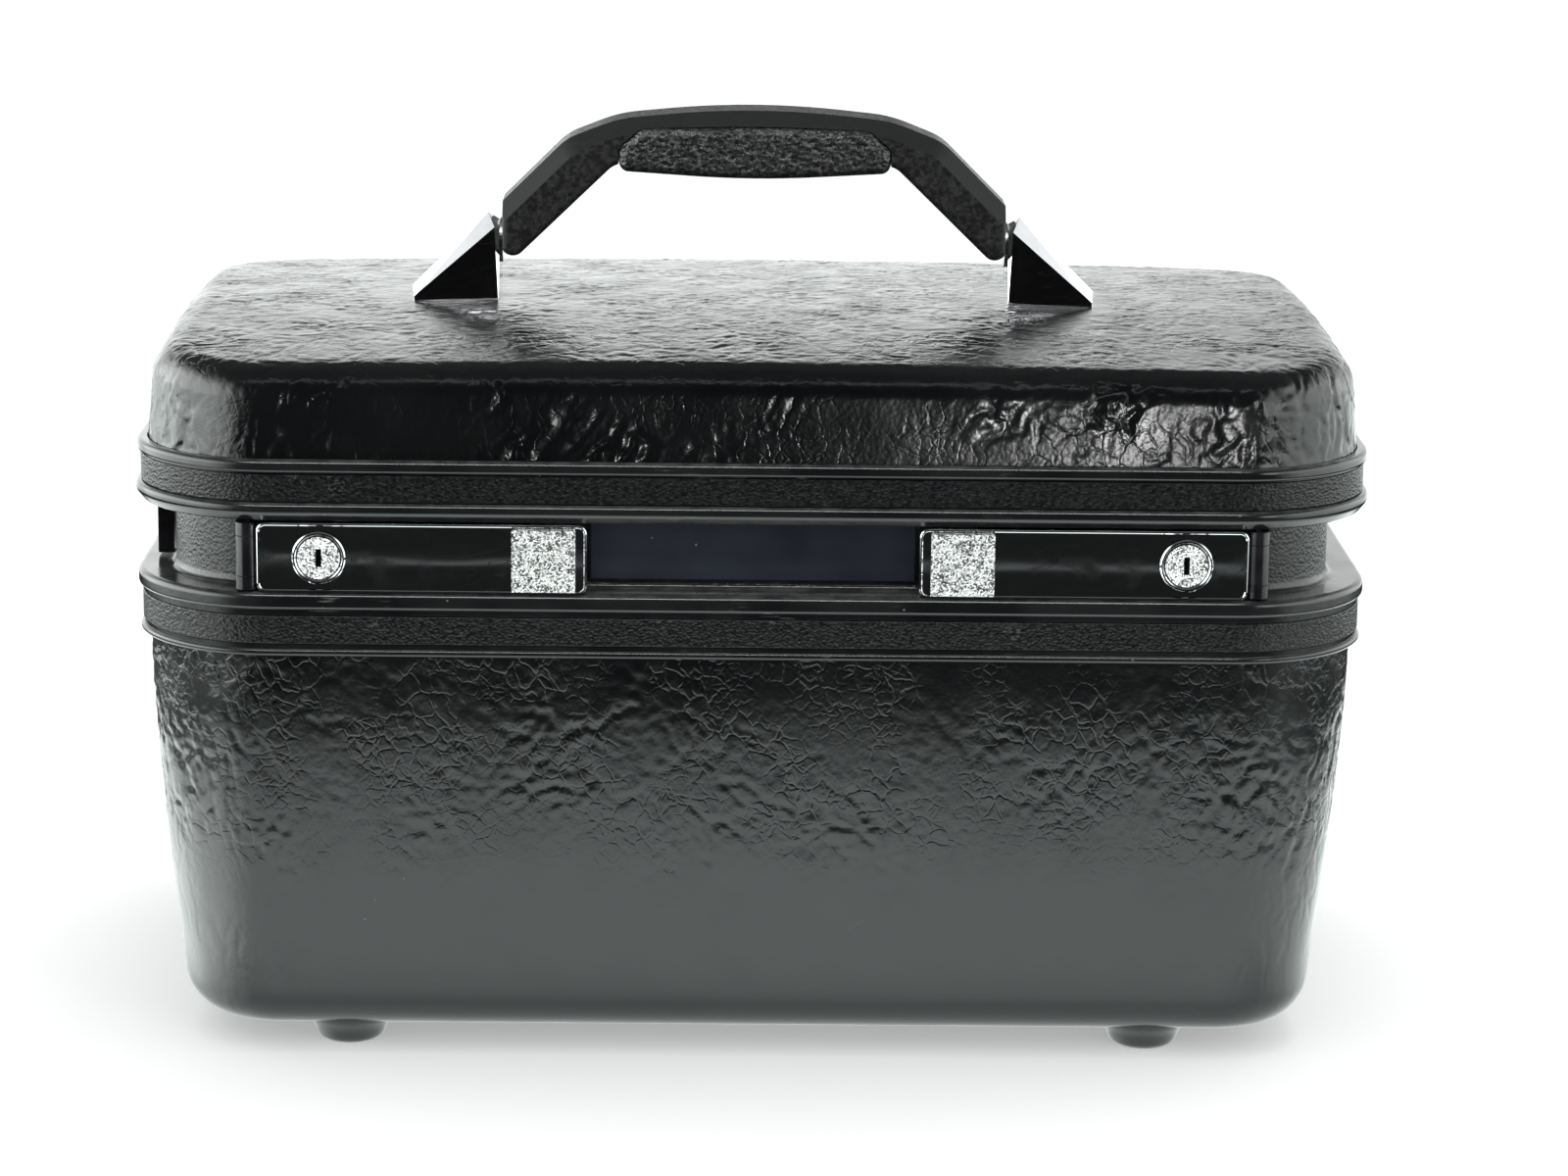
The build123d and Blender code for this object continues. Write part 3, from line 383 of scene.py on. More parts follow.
def build_tub_shell():
    def outer_stops(total):
        """Sparse at the top, close on the wall, medium at the foot and floor."""
        return np.r_[np.linspace(0, 14.0, 4)[:-1],
                     np.arange(14.0, total - 34.0, TUB_ROW_STEP),
                     np.linspace(total - 34.0, total, 20)]

    def inner_stops(total):
        return np.r_[np.linspace(0, total - 34, 5)[:-1], np.linspace(total - 34, total, 7)]

    wall = tub_wall(0.0, TUB_TOP, bend_r=400.0, foot_r=13.0, floor_u=-32.0)
    outer = sweep(CASE_LINE, CASE_NORMALS, resample(round_path(wall, 1.0), outer_stops))
    outer += shrink(outer[-1], (0.8, 0.55, 0.3, 0.1))
    wall = tub_wall(SHELL_T, TUB_TOP, bend_r=400.0 - SHELL_T, foot_r=13.0 - SHELL_T,
                    floor_u=-32.0)
    inner = sweep(CASE_LINE, CASE_NORMALS, resample(round_path(wall, 2.0), inner_stops))
    inner += shrink(inner[-1], (0.6, 0.2))
    ob = closed_mesh("tub_shell_grained", outer, inner)

    co, normals = read_mesh(ob)
    n_out = len(outer) * len(CASE_LINE)
    p, nn = co[:n_out], normals[:n_out]
    # smooth near the top and under the floor
    fade = smooth(119.5, 114.5, p[:, 2]) * smooth(6.6, 16.0, p[:, 2])
    depth = np.clip(folds(p, nn[:, 2]) * 0.30 - 0.05, -0.7, 0.3) * fade
    co[:n_out] = p + nn * depth[:, None]
    write_mesh(ob, co)
    return ob


FOOT_X, FOOT_Y = 114.8, 76.9
FOOT_PROFILE = [                # (radius, z), from the underside out and up
    (0, 0.35), (4.0, 0.3), (6.4, 0.05), (7.6, 0.0), (8.6, 0.25), (9.4, 0.9), (9.9, 1.8),
    (10.3, 2.9), (10.8, 4.1), (11.5, 5.2), (12.3, 6.2), (13.0, 7.2), (13.5, 8.2),
    (13.7, 9.2), (12.0, 10.0), (0, 10.0)]

tub = build_tub_shell()
feet = [lathe("foot_%s_%s" % (row, side), FOOT_PROFILE, sx * FOOT_X, sy * FOOT_Y)
        for row, sy in (("front", -1), ("rear", 1))
        for side, sx in (("left", -1), ("right", 1))]

# ------------------------------------------------------------------ lid shell
LID_BOTTOM = 161.3
LID_LEAN_Z = 172.0              # the wall is upright below this and leans in above
LID_LEAN = -0.085               # offset per mm of height
LID_U = -3.4                    # offset of the upright part
LID_EDGE_R = 10.0
LID_TOP = 206.2


def crown(x, y):
    """Height of the domed lid top."""
    return LID_TOP - y * y / 2060.0 - x * x / 16000.0


def lid_rows(inset, wall_rows, arc_rows):
    """Wall and rounded edge of the lid, per column, ending on the top."""
    line, normals = CASE_LINE, CASE_NORMALS
    rad = LID_EDGE_R - inset

    def wall_u(z):
        return LID_U - inset + np.maximum(z - LID_LEAN_Z, 0) * LID_LEAN

    # where the top at the edge meets the wall
    zi = np.full(len(line), 200.0)
    for _ in range(4):
        e = line + normals * wall_u(zi)[:, None]
        zi = crown(e[:, 0], e[:, 1]) - inset
    e = line + normals * wall_u(zi)[:, None]
    slope = -(e[:, 1] * normals[:, 1] / 1030.0 + e[:, 0] * normals[:, 0] / 8000.0)
    wn = np.array([1.0, -LID_LEAN]) / math.hypot(1, LID_LEAN)
    tn = np.stack([-slope, np.ones(len(line))], 1)
    tn /= np.linalg.norm(tn, axis=1)[:, None]
    # centre of the rounding: rad inside both the wall (normal wn) and the top (tn)
    det = wn[0] * tn[:, 1] - wn[1] * tn[:, 0]
    cu = (-rad * tn[:, 1] + rad * wn[1]) / det
    cz = (-rad * wn[0] + rad * tn[:, 0]) / det
    cu, cz = cu + wall_u(zi), cz + zi
    start = math.atan2(wn[1], wn[0])
    end = np.arctan2(tn[:, 1], tn[:, 0])
    wall_end = cz + rad * wn[1]
    rows = []
    for k in range(wall_rows + 1):
        if k < 3:
            z = np.full(len(line), LID_BOTTOM + (LID_LEAN_Z - LID_BOTTOM) * k / 3.0)
        else:
            z = LID_LEAN_Z + (wall_end - LID_LEAN_Z) * (k - 3) / (wall_rows - 2)
        rows.append(np.c_[line + normals * wall_u(z)[:, None], z])
    for k in range(arc_rows + 1):
        a = start + (end - start) * k / arc_rows
        u, z = cu + rad * np.cos(a), cz + rad * np.sin(a)
        rows.append(np.c_[line + normals * u[:, None], z])
    return rows


def lid_top_grid(edge):
    """Points of a grid over the lid top, (i, j, xyz), whose outer ring lies on edge."""
    nf, ns = FRONT_CELLS, SIDE_CELLS
    gi, gj = np.meshgrid(np.arange(nf + 1), np.arange(ns + 1), indexing="ij")
    u, v = 2 * gi / nf - 1, 2 * gj / ns - 1
    t = np.maximum(np.abs(u), np.abs(v))
    with np.errstate(all="ignore"):       # 0 / 0 at the very centre
        bu, bv = np.where(t > 0, u / t, 0), np.where(t > 0, v / t, 0)
    # the place on the edge ring that lies outward of each grid point
    col = np.where(np.abs(bv + 1) < 1e-9, (bu + 1) / 2 * nf,
          np.where(np.abs(bu - 1) < 1e-9, nf + (bv + 1) / 2 * ns,
          np.where(np.abs(bv - 1) < 1e-9, nf + ns + (1 - bu) / 2 * nf,
                   2 * nf + ns + (1 - bv) / 2 * ns))) % len(edge)
    c0 = np.floor(col).astype(int) % len(edge)
    c1 = (c0 + 1) % len(edge)
    part = (col - np.floor(col))[..., None]
    on_edge = edge[c0] * (1 - part) + edge[c1] * part
    rim = on_edge[..., :2]
    # rectangular in the middle, following the rounded outline further out
    rect = np.stack([bu * edge[:, 0].max(), bv * edge[:, 1].max()], -1)
    weight = smooth(0.35, 1.0, t)[..., None]
    xy = (rect * (1 - weight) + rim * weight) * t[..., None]
    # ease from the rounding's end to the crown
    lift = on_edge[..., 2] - crown(rim[..., 0], rim[..., 1])
    z = crown(xy[..., 0], xy[..., 1]) + lift * smooth(0.8, 1.0, t)
    return np.concatenate([xy, z[..., None]], -1)


def build_lid_shell():
    nf, ns, n = FRONT_CELLS, SIDE_CELLS, len(CASE_LINE)
    outer = lid_rows(0.0, LID_WALL_ROWS, LID_ARC_ROWS)
    grid = lid_top_grid(outer[-1])
    ring_id = -np.ones((nf + 1, ns + 1), int)
    for k in range(nf):
        ring_id[k, 0] = k
        ring_id[nf - k, ns] = nf + ns + k
    for k in range(ns):
        ring_id[nf, k] = nf + k
        ring_id[0, ns - k] = 2 * nf + ns + k
    within = ring_id < 0
    grid_start = len(outer) * n
    index = grid_start - n + ring_id
    index[within] = grid_start + np.arange(within.sum())
    grid_verts = grid[within]

    inner = lid_rows(SHELL_T, wall_rows=6, arc_rows=5)
    inner += shrink(inner[-1], (0.93, 0.8, 0.6, 0.4, 0.2, 0.07),
                    lambda x, y: crown(x, y) - SHELL_T)
    inner_start = grid_start + len(grid_verts)
    centre = np.array([[0, 0, LID_TOP - SHELL_T]])
    verts = np.concatenate(outer + [grid_verts] + inner + [centre])
    faces = []
    for k in range(len(outer) - 1):
        faces += band(n, k * n, (k + 1) * n)
    quads = (index[:-1, :-1], index[1:, :-1], index[1:, 1:], index[:-1, 1:])
    faces += map(tuple, np.stack([q.ravel() for q in quads], 1).tolist())
    for k in range(len(inner) - 1):
        faces += band(n, inner_start + k * n, inner_start + (k + 1) * n, flip=True)
    faces += band(n, inner_start, 0)
    last = inner_start + (len(inner) - 1) * n
    for k in range(n):
        faces.append((last + (k + 1) % n, last + k, len(verts) - 1))
    ob = solid_from("lid_shell_grained", verts, faces)

    co, normals = read_mesh(ob)
    p, nn = co[:inner_start], normals[:inner_start]
    fade = smooth(173.5, 176.5, p[:, 2])         # smooth along the lower edge
    # calm round a spot at each side of the top
    spot = smooth(30, 12, np.hypot(np.abs(p[:, 0]) - 88, p[:, 1] * 0.8)) * 0.8
    amplitude = 0.30 - 0.03 * smooth(0.6, 0.9, nn[:, 2])
    depth = np.clip(folds(p, nn[:, 2]) * amplitude - 0.05, -0.75, 0.32) * fade * (1 - spot)
    co[:inner_start] = p + nn * depth[:, None]
    write_mesh(ob, co)
    return ob


lid = build_lid_shell()

# ------------------------------------------------------------------- linings
LINING_LINE, LINING_NORMALS = case_outline(LINING_FRONT_CELLS, LINING_SIDE_CELLS)
LINING_RUN = run_length(LINING_LINE)
PERIMETER = LINING_RUN[-1] + np.linalg.norm(LINING_LINE[0] - LINING_LINE[-1])
LINING_T = 1.6
QUILT_PITCH = 23.0
QUILT_ROUND = 44                # half waves of the quilting round the case
FLOOR_SQUEEZE = 0.7             # quilting frequency on flat parts, against the walls


def quilt(s, t):
    """Diamond quilting: 0 along the seams, 1 in the middle of a puff."""
    k = QUILT_ROUND * math.pi / PERIMETER
    a = np.abs(np.sin(s * k + t * math.pi / QUILT_PITCH))
    b = np.abs(np.sin(s * k - t * math.pi / QUILT_PITCH))
    return np.sqrt(np.minimum(a, b) + 1e-6) * np.minimum(1, 1.6 * np.maximum(a, b))


def quilted_lining(name, wall, puff, sign, keep):
    """A lining along a wall section. puff is the height of the quilting, sign the side
    that it stands on, and keep gives the share of it left at each point."""
    n = len(LINING_LINE)
    section = resample(round_path(wall, 2.0), lambda total: np.linspace(0, total, 26))
    outer = sweep(LINING_LINE, LINING_NORMALS, section)
    outer += shrink(outer[-1], (0.6, 0.2))
    path = round_path(wall, 1.5)
    along = np.gradient(path, axis=0)
    across = np.stack([along[:, 1] * sign, -along[:, 0] * sign], 1)
    across /= np.linalg.norm(across, axis=1)[:, None]
    inner_path = path + across * LINING_T
    inner_path[0, 1] = path[0, 1]
    section = resample(inner_path, lambda total: np.linspace(0, total, 84))
    inner = sweep(LINING_LINE, LINING_NORMALS, section)
    inner += shrink(inner[-1], np.linspace(1, 0.02, 60)[1:])
    ob = closed_mesh(name, outer, inner)

    co, normals = read_mesh(ob)
    part = slice(len(outer) * n, (len(outer) + len(inner)) * n)
    p, nn = co[part], normals[part]
    facing = np.abs(nn[:, 2])
    down = run_length(section)
    n_flat = len(inner) - len(down)
    q = quilt(np.tile(LINING_RUN, len(inner)), np.repeat(np.r_[down, np.zeros(n_flat)], n))
    k = math.pi / QUILT_PITCH
    a = np.abs(np.sin(p[:, 0] * k * FLOOR_SQUEEZE + p[:, 1] * k * FLOOR_SQUEEZE))
    b = np.abs(np.sin(p[:, 0] * k * FLOOR_SQUEEZE - p[:, 1] * k * FLOOR_SQUEEZE))
    q = np.where(facing > 0.8, np.sqrt(np.minimum(a, b) + 1e-6), q)
    bend = smooth(0.25, 0.6, facing) * (1 - smooth(0.8, 0.97, facing))
    hem = smooth(0, 5, np.repeat(np.r_[down, np.full(n_flat, 99.0)], n))
    wobble = 0.25 * gradient_noise(p / 9.0, 7) + 0.12 * gradient_noise(p / 3.5, 8)
    amount = (q * puff * (1 - 0.8 * bend) + wobble * 0.3) * hem
    kept = keep(p)
    co[part] = p + nn * (amount * kept)[:, None]
    write_mesh(ob, co)
    # painted shade in the quilting's valleys along the seams, deepest where the puffs stand
    # highest and fading where they are flattened, for the material to darken the cloth with
    valley_shade = np.zeros(len(co))
    valley_shade[part] = (1 - smooth(0.12, 0.52, q)) * (1 - bend) * hem * smooth(0.15, 0.4, kept)
    quilt_valley_shade = ob.data.attributes.new("quilt_valley_shade", "FLOAT", "POINT")
    quilt_valley_shade.data.foreach_set("value", valley_shade.astype(np.float32))
    return ob


def keep_in_tub(p):
    """Flatter high on the wall."""
    return 0.45 + 0.55 * smooth(70, 55, p[:, 2])


def keep_in_lid(p):
    """Nearly flat in the middle of the lid's ceiling."""
    middle = (np.abs(p[:, 0]) < 130) & (np.abs(p[:, 1]) < 72) & (p[:, 2] > 190)
    return np.where(middle, 0.12, 1.0)


TUB_LINING_WALL = tub_wall(5.3, 131.0, bend_r=390.0, foot_r=8.0, floor_u=-34.0)
LID_LINING_WALL = [(-10.2, 164.0), (-10.2, 198.4, 14.0), (-34.0, 198.4)]
tub_lining = quilted_lining("tub_lining_quilted", TUB_LINING_WALL, puff=1.6, sign=1,
                            keep=keep_in_tub)
lid_lining = quilted_lining("lid_lining_quilted", LID_LINING_WALL, puff=2.2, sign=-1,
                            keep=keep_in_lid)


# --------------------------------------------------------------- rear pocket
def build_pocket():
    """A sheet inside the rear wall, gathered into pleats near its top."""
    nx, nz = 220, 46
    low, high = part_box("pocket_back")
    x0, x1, z0, z1 = low.x / MM, high.x / MM, low.z / MM, high.z / MM
    x, t = np.meshgrid(np.linspace(x0, x1, nx + 1), np.linspace(0, 1, nz + 1), indexing="ij")
    z = z0 + (z1 - z0) * t
    y_back = 90.3 + 2.0 * t
    # full lower down, drawn in near the top, ruffled above it
    belly = 6.4 * np.sin(math.pi * t ** 0.8) ** 0.7 * (1 - 0.55 * smooth(0.72, 0.9, t))
    ends = np.sqrt(np.clip(np.minimum(x - x0, x1 - x) / 10.0, 0, 1))
    at = np.stack([x.ravel() / 19.0, t.ravel() * 1.4, np.zeros(x.size)], 1)
    wobble = gradient_noise(at, 5).reshape(x.shape)
    pleat = (np.sin(x / 8.3 * 2 * math.pi + 5.5 * wobble) * 0.5
             + 0.3 * np.sin(x / 5.1 * 2 * math.pi + 7 * wobble))
    gather = 0.35 + 0.9 * smooth(0.45, 0.86, t)
    y = y_back - 0.9 - (belly + pleat * gather * 1.1 * smooth(0.0, 0.35, t)) * ends
    y = np.clip(y, 82.1, None)
    y = y + 0.9 * np.exp(-((t - 0.86) / 0.02) ** 2)     # the drawn-in line
    verts = np.concatenate([np.stack([x, side, z], -1).reshape(-1, 3)
                            for side in (y, y_back)])
    back = (nx + 1) * (nz + 1)

    def at_grid(i, j, start):
        return start + i * (nz + 1) + j

    faces = []
    for i in range(nx):
        for j in range(nz):
            ring = ((i, j), (i + 1, j), (i + 1, j + 1), (i, j + 1))
            faces.append(tuple(at_grid(*c, 0) for c in ring))
            faces.append(tuple(at_grid(*ring[k], back) for k in (0, 3, 2, 1)))
        for j, flip in ((0, False), (nz, True)):
            q = (at_grid(i, j, 0), at_grid(i, j, back),
                 at_grid(i + 1, j, back), at_grid(i + 1, j, 0))
            faces.append(q[::-1] if flip else q)
    for j in range(nz):
        for i, flip in ((0, True), (nx, False)):
            q = (at_grid(i, j, 0), at_grid(i, j, back),
                 at_grid(i, j + 1, back), at_grid(i, j + 1, 0))
            faces.append(q[::-1] if flip else q)
    return solid_from("rear_pocket_gathered", verts, faces)


pocket = build_pocket()


# ---------------------------------------------------------------- node helpers
class Nodes:
    """The node tree of a material or world, with short ways to add to it."""

    def __init__(self, owner):
        owner.use_nodes = True
        self.tree = owner.node_tree
        self.tree.nodes.clear()

    def node(self, kind, **settings):
        made = self.tree.nodes.new("ShaderNode" + kind)
        for key, value in settings.items():
            setattr(made, key, value)
        return made

    def feed(self, socket, value):
        """Link an output to a socket, or give the socket a plain value."""
        if isinstance(value, bpy.types.NodeSocket):
            self.tree.links.new(value, socket)
        else:
            socket.default_value = value

    def math(self, op, *values):
        made = self.node("Math", operation=op)
        for socket, value in zip(made.inputs, values):
            self.feed(socket, value)
        return made.outputs[0]

    def product(self, first, *others):
        for other in others:
            first = self.math("MULTIPLY", first, other)
        return first

    def invert(self, value):
        return self.math("SUBTRACT", 1.0, value)

    def range(self, value, over, to=(0.0, 1.0), kind="SMOOTHSTEP"):
        """Ease from to[0] to to[1] as value runs from over[0] to over[1]."""
        made = self.node("MapRange", interpolation_type=kind)
        for socket, item in zip(made.inputs, (value, *over, *to)):
            self.feed(socket, item)
        return made.outputs["Result"]

    def split(self, vector):
        made = self.node("SeparateXYZ")
        self.feed(made.inputs[0], vector)
        return made.outputs


class Mat(Nodes):
    """A Principled material. Texture sizes and bump heights are in millimetres."""

    def __init__(self, name, color, rough, metal=0.0, spec=0.5):
        self.m = bpy.data.materials.new(name)
        super().__init__(self.m)
        out = self.node("OutputMaterial")
        self.shader = self.node("BsdfPrincipled")
        self.feed(out.inputs[0], self.shader.outputs[0])
        self.set("Base Color", (*color, 1))
        self.set("Roughness", rough)
        self.set("Metallic", metal)
        self.set("Specular IOR Level", spec)
        self.co = self.node("TexCoord").outputs["Object"]
        self.m.diffuse_color = (*color, 1)

    def set(self, name, value):
        self.feed(self.shader.inputs[name], value)

    def map(self, rot=(0, 0, 0), scale=(1, 1, 1), loc=(0, 0, 0), src=None):
        made = self.node("Mapping")
        made.inputs["Rotation"].default_value = [math.radians(a) for a in rot]
        made.inputs["Scale"].default_value = scale
        made.inputs["Location"].default_value = loc
        self.feed(made.inputs[0], src or self.co)
        return made.outputs[0]

    def noise(self, mm, detail=2.0, rough=0.5, src=None, out="Fac"):
        made = self.node("TexNoise")
        made.inputs["Scale"].default_value = 1000.0 / mm
        made.inputs["Detail"].default_value = detail
        made.inputs["Roughness"].default_value = rough
        self.feed(made.inputs["Vector"], src or self.co)
        return made.outputs[out]

    def mottle(self, mm, detail, over, to=(0.0, 1.0), rough=0.5, src=None):
        """Noise eased into a range."""
        return self.range(self.noise(mm, detail, rough, src), over, to)

    def voronoi(self, mm, feature="F1", src=None, smoothness=None):
        made = self.node("TexVoronoi", feature=feature)
        made.inputs["Scale"].default_value = 1000.0 / mm
        if smoothness is not None:
            made.inputs["Smoothness"].default_value = smoothness
        self.feed(made.inputs["Vector"], src or self.co)
        return made.outputs["Distance"]

    def pebbles(self, mm, smoothness, src=None):
        return self.voronoi(mm, "SMOOTH_F1", src, smoothness)

    def weigh(self, first, second, weights):
        return self.math("ADD", self.product(first, weights[0]),
                         self.product(second, weights[1]))

    def mix(self, amount, low, high):
        """low where amount is 0, high where it is 1."""
        made = self.node("Mix", data_type="RGBA")
        self.feed(made.inputs[0], amount)
        for socket, color in ((made.inputs[6], low), (made.inputs[7], high)):
            self.feed(socket, (*color, 1) if isinstance(color, tuple) else color)
        return made.outputs[2]

    def bump(self, height, mm, under=None):
        """Bump of a height in mm, on top of the bump under it."""
        made = self.node("Bump")
        made.inputs["Distance"].default_value = mm * MM
        self.feed(made.inputs["Height"], height)
        if under is not None:
            self.feed(made.inputs["Normal"], under)
        return made.outputs[0]

    def warp(self, mm, detail, shift, rot, stretch, seed):
        """Coordinates pushed about by noise, up to shift metres, then turned and scaled."""
        noise = self.noise(mm, detail, out="Color")
        centred = self.node("VectorMath", operation="SUBTRACT")
        self.feed(centred.inputs[0], noise)
        centred.inputs[1].default_value = (0.5, 0.5, 0.5)
        scaled = self.node("VectorMath", operation="SCALE")
        self.feed(scaled.inputs[0], centred.outputs[0])
        scaled.inputs["Scale"].default_value = shift
        moved = self.node("VectorMath", operation="ADD")
        self.feed(moved.inputs[0], self.co)
        self.feed(moved.inputs[1], scaled.outputs[0])
        turned = self.map(rot=rot, loc=(seed, seed * 0.7, -seed), src=moved.outputs[0])
        return self.map(scale=stretch, src=turned)

    def ridge(self, mm, rot, stretch, width, warp_mm, seed):
        """Thin wavy lines, 1 on a line."""
        src = self.warp(warp_mm, 1.0, warp_mm * MM * 0.60, rot, stretch, seed)
        noise = self.noise(mm, 1.0, 0.4, src=src)
        off = self.math("ABSOLUTE", self.math("SUBTRACT", noise, 0.5))
        return self.range(off, over=(0.0, width), to=(1.0, 0.0))

    def crack(self, mm, rot, stretch, width, warp_mm, amount, seed=0.0):
        """Thin lines along the borders of warped cells, 1 on a line."""
        src = self.warp(warp_mm, 1.5, amount * MM * 2, rot, stretch, seed)
        edge = self.voronoi(mm, "DISTANCE_TO_EDGE", src=src)
        return self.range(edge, over=(0.0, width), to=(1.0, 0.0))


# ------------------------------------------------------------------ materials
def dust(m, color, amount, cover):
    """Pale specks and lint on a dark surface; a higher cover leaves fewer of them."""
    dot = m.range(m.voronoi(mm=5.2), over=(0.03, 0.07), to=(1.0, 0.0))
    where = m.mottle(mm=23, detail=2, over=(cover - 0.08, cover))
    return m.mix(m.product(dot, where, amount), low=color, high=(0.30, 0.31, 0.30))


def make_shell():
    m = Mat("shell_leather_grain", (0.005, 0.0055, 0.006), rough=0.33)
    col = m.mix(m.mottle(mm=38, detail=3, over=(0.35, 0.65)),
                low=(0.0020, 0.0027, 0.0031), high=(0.0042, 0.0050, 0.0054))
    # faint pale rub marks
    rub = m.ridge(mm=30, rot=(0, 22, 0), stretch=(0.25, 1, 2.4), width=0.006, warp_mm=22,
                  seed=3.1)
    rub = m.product(rub, m.mottle(mm=46, detail=1, over=(0.62, 0.72)), 0.22)
    col = m.mix(rub, low=col, high=(0.16, 0.165, 0.16))
    m.set("Base Color", dust(m, col, amount=0.35, cover=0.72))
    # masks: the lid top, the lid walls, and a fade towards the tub floor; z in metres
    up = m.split(m.node("NewGeometry").outputs["Normal"])[2]
    top = m.range(up, over=(0.55, 0.85))
    z = m.split(m.co)[2]
    low = m.math("MAXIMUM", m.range(z, over=(0.042, 0.085), to=(0.05, 1.0)), top)

    def lid_wall():
        return m.product(m.range(z, over=(0.149, 0.151)), m.invert(top))

    fine = m.noise(mm=0.9, detail=2, rough=0.6)
    cells = m.pebbles(mm=1.4, smoothness=0.6)
    wide = m.crack(mm=4.6, rot=(20, 25, 30), stretch=(1, 1, 0.7), width=0.11, warp_mm=5.0,
                   amount=2.6)
    close = m.crack(mm=2.9, rot=(0, -35, 50), stretch=(1, 0.8, 0.8), width=0.13,
                    warp_mm=3.5, amount=1.4, seed=0.6)
    wide_mask = m.product(m.mottle(mm=21, detail=1, over=(0.40, 0.62)), low)
    close_mask = m.product(m.mottle(mm=17, detail=1, over=(0.46, 0.66),
                                    src=m.map(loc=(3, 1, 2))), low)
    lines = m.math("ADD", m.product(wide, wide_mask), m.product(close, close_mask, 0.6))
    grain = m.bump(cells, mm=0.028, under=m.bump(fine, mm=0.016))
    lines = m.product(lines, m.invert(m.product(lid_wall(), 0.6)))    # fainter there
    m.set("Normal", m.bump(m.product(lines, -1.0), mm=0.075, under=grain))
    rough = m.mottle(mm=14, detail=3, over=(0.3, 0.7), to=(0.21, 0.27))
    m.set("Roughness", m.math("SUBTRACT", rough, m.product(lid_wall(), 0.05)))
    return m.m


def make_rim():
    m = Mat("rim_satin", (0.012, 0.0125, 0.013), rough=0.30)
    col = m.mix(m.mottle(mm=30, detail=3, over=(0.35, 0.65)),
                low=(0.0045, 0.0050, 0.0055), high=(0.010, 0.0105, 0.011))
    # scuffs: short pale streaks along the rim
    streak = m.noise(mm=2.2, detail=2, rough=0.6, src=m.map(scale=(0.22, 0.22, 2.0)))
    where = m.mottle(mm=26, detail=2, over=(0.55, 0.70))
    scuff = m.product(m.range(streak, over=(0.60, 0.70)), where, 0.30)
    col = m.mix(scuff, low=col, high=(0.25, 0.255, 0.25))
    # a pale film on faces that look up
    up = m.split(m.node("NewGeometry").outputs["Normal"])[2]
    settled = m.product(m.range(up, over=(0.55, 0.95)),
                        m.mottle(mm=5, detail=3, over=(0.35, 0.65), to=(0.35, 1.0)), 0.35)
    col = m.mix(settled, low=col, high=(0.11, 0.115, 0.11))
    m.set("Base Color", dust(m, col, amount=0.55, cover=0.60))
    # pebbled and duller on the neck, between these heights in metres
    z = m.split(m.co)[2]
    neck = m.product(m.range(z, over=(0.1388, 0.1394)),
                     m.range(z, over=(0.1570, 0.1576), to=(1.0, 0.0)))
    pebbled = m.product(m.math("ADD", m.pebbles(mm=0.9, smoothness=0.4),
                               m.noise(mm=1.1, detail=2)), neck)
    m.set("Normal", m.bump(pebbled, mm=0.09, under=m.bump(
        m.noise(mm=2.4, detail=3), mm=0.02,
        under=m.bump(m.noise(mm=0.35, detail=1), mm=0.006))))
    rough = m.mottle(mm=9, detail=3, over=(0.3, 0.7), to=(0.13, 0.22))
    m.set("Roughness", m.math("ADD", rough, m.product(neck, 0.12)))
    return m.m


def make_band():
    m = Mat("band_pebble", (0.012, 0.012, 0.0125), rough=0.42, spec=0.36)
    cells = m.pebbles(mm=0.85, smoothness=0.3, src=m.map(scale=(0.85, 0.85, 1.15)))
    grit = m.noise(mm=1.15, detail=2, rough=0.6, src=m.map(scale=(0.8, 0.8, 1.2)))
    m.set("Normal", m.bump(m.weigh(cells, grit, weights=(0.7, 0.6)), mm=0.24))
    col = m.mix(m.range(grit, over=(0.35, 0.7)),
                low=(0.002, 0.0022, 0.0026), high=(0.006, 0.0063, 0.0066))
    chalk = m.product(m.mottle(mm=11, detail=4, rough=0.7, over=(0.60, 0.74)),
                      m.range(grit, over=(0.48, 0.62)), 0.22)
    m.set("Base Color", m.mix(chalk, low=col, high=(0.18, 0.18, 0.17)))
    m.set("Roughness", m.range(grit, over=(0.3, 0.7), to=(0.28, 0.42)))
    return m.m


def make_panel():
    m = Mat("panel_satin", (0.010, 0.012, 0.019), rough=0.16)
    col = m.mix(m.mottle(mm=40, detail=2, over=(0.35, 0.65)),
                low=(0.011, 0.013, 0.020), high=(0.020, 0.023, 0.032))
    m.set("Base Color", dust(m, col, amount=0.6, cover=0.58))
    m.set("Normal", m.bump(m.noise(mm=6, detail=2), mm=0.03))
    m.set("Roughness", m.mottle(mm=8, detail=3, over=(0.3, 0.7), to=(0.12, 0.24)))
    return m.m


def make_gloss_black(name):
    m = Mat(name, (0.006, 0.006, 0.007), rough=0.16)
    col = m.mix(m.mottle(mm=12, detail=2, over=(0.4, 0.6)),
                low=(0.005, 0.005, 0.006), high=(0.010, 0.010, 0.012))
    m.set("Base Color", dust(m, col, amount=0.4, cover=0.64))
    m.set("Normal", m.bump(m.noise(mm=3, detail=2), mm=0.012))
    m.set("Roughness", m.mottle(mm=5, detail=3, over=(0.3, 0.7), to=(0.10, 0.24)))
    return m.m


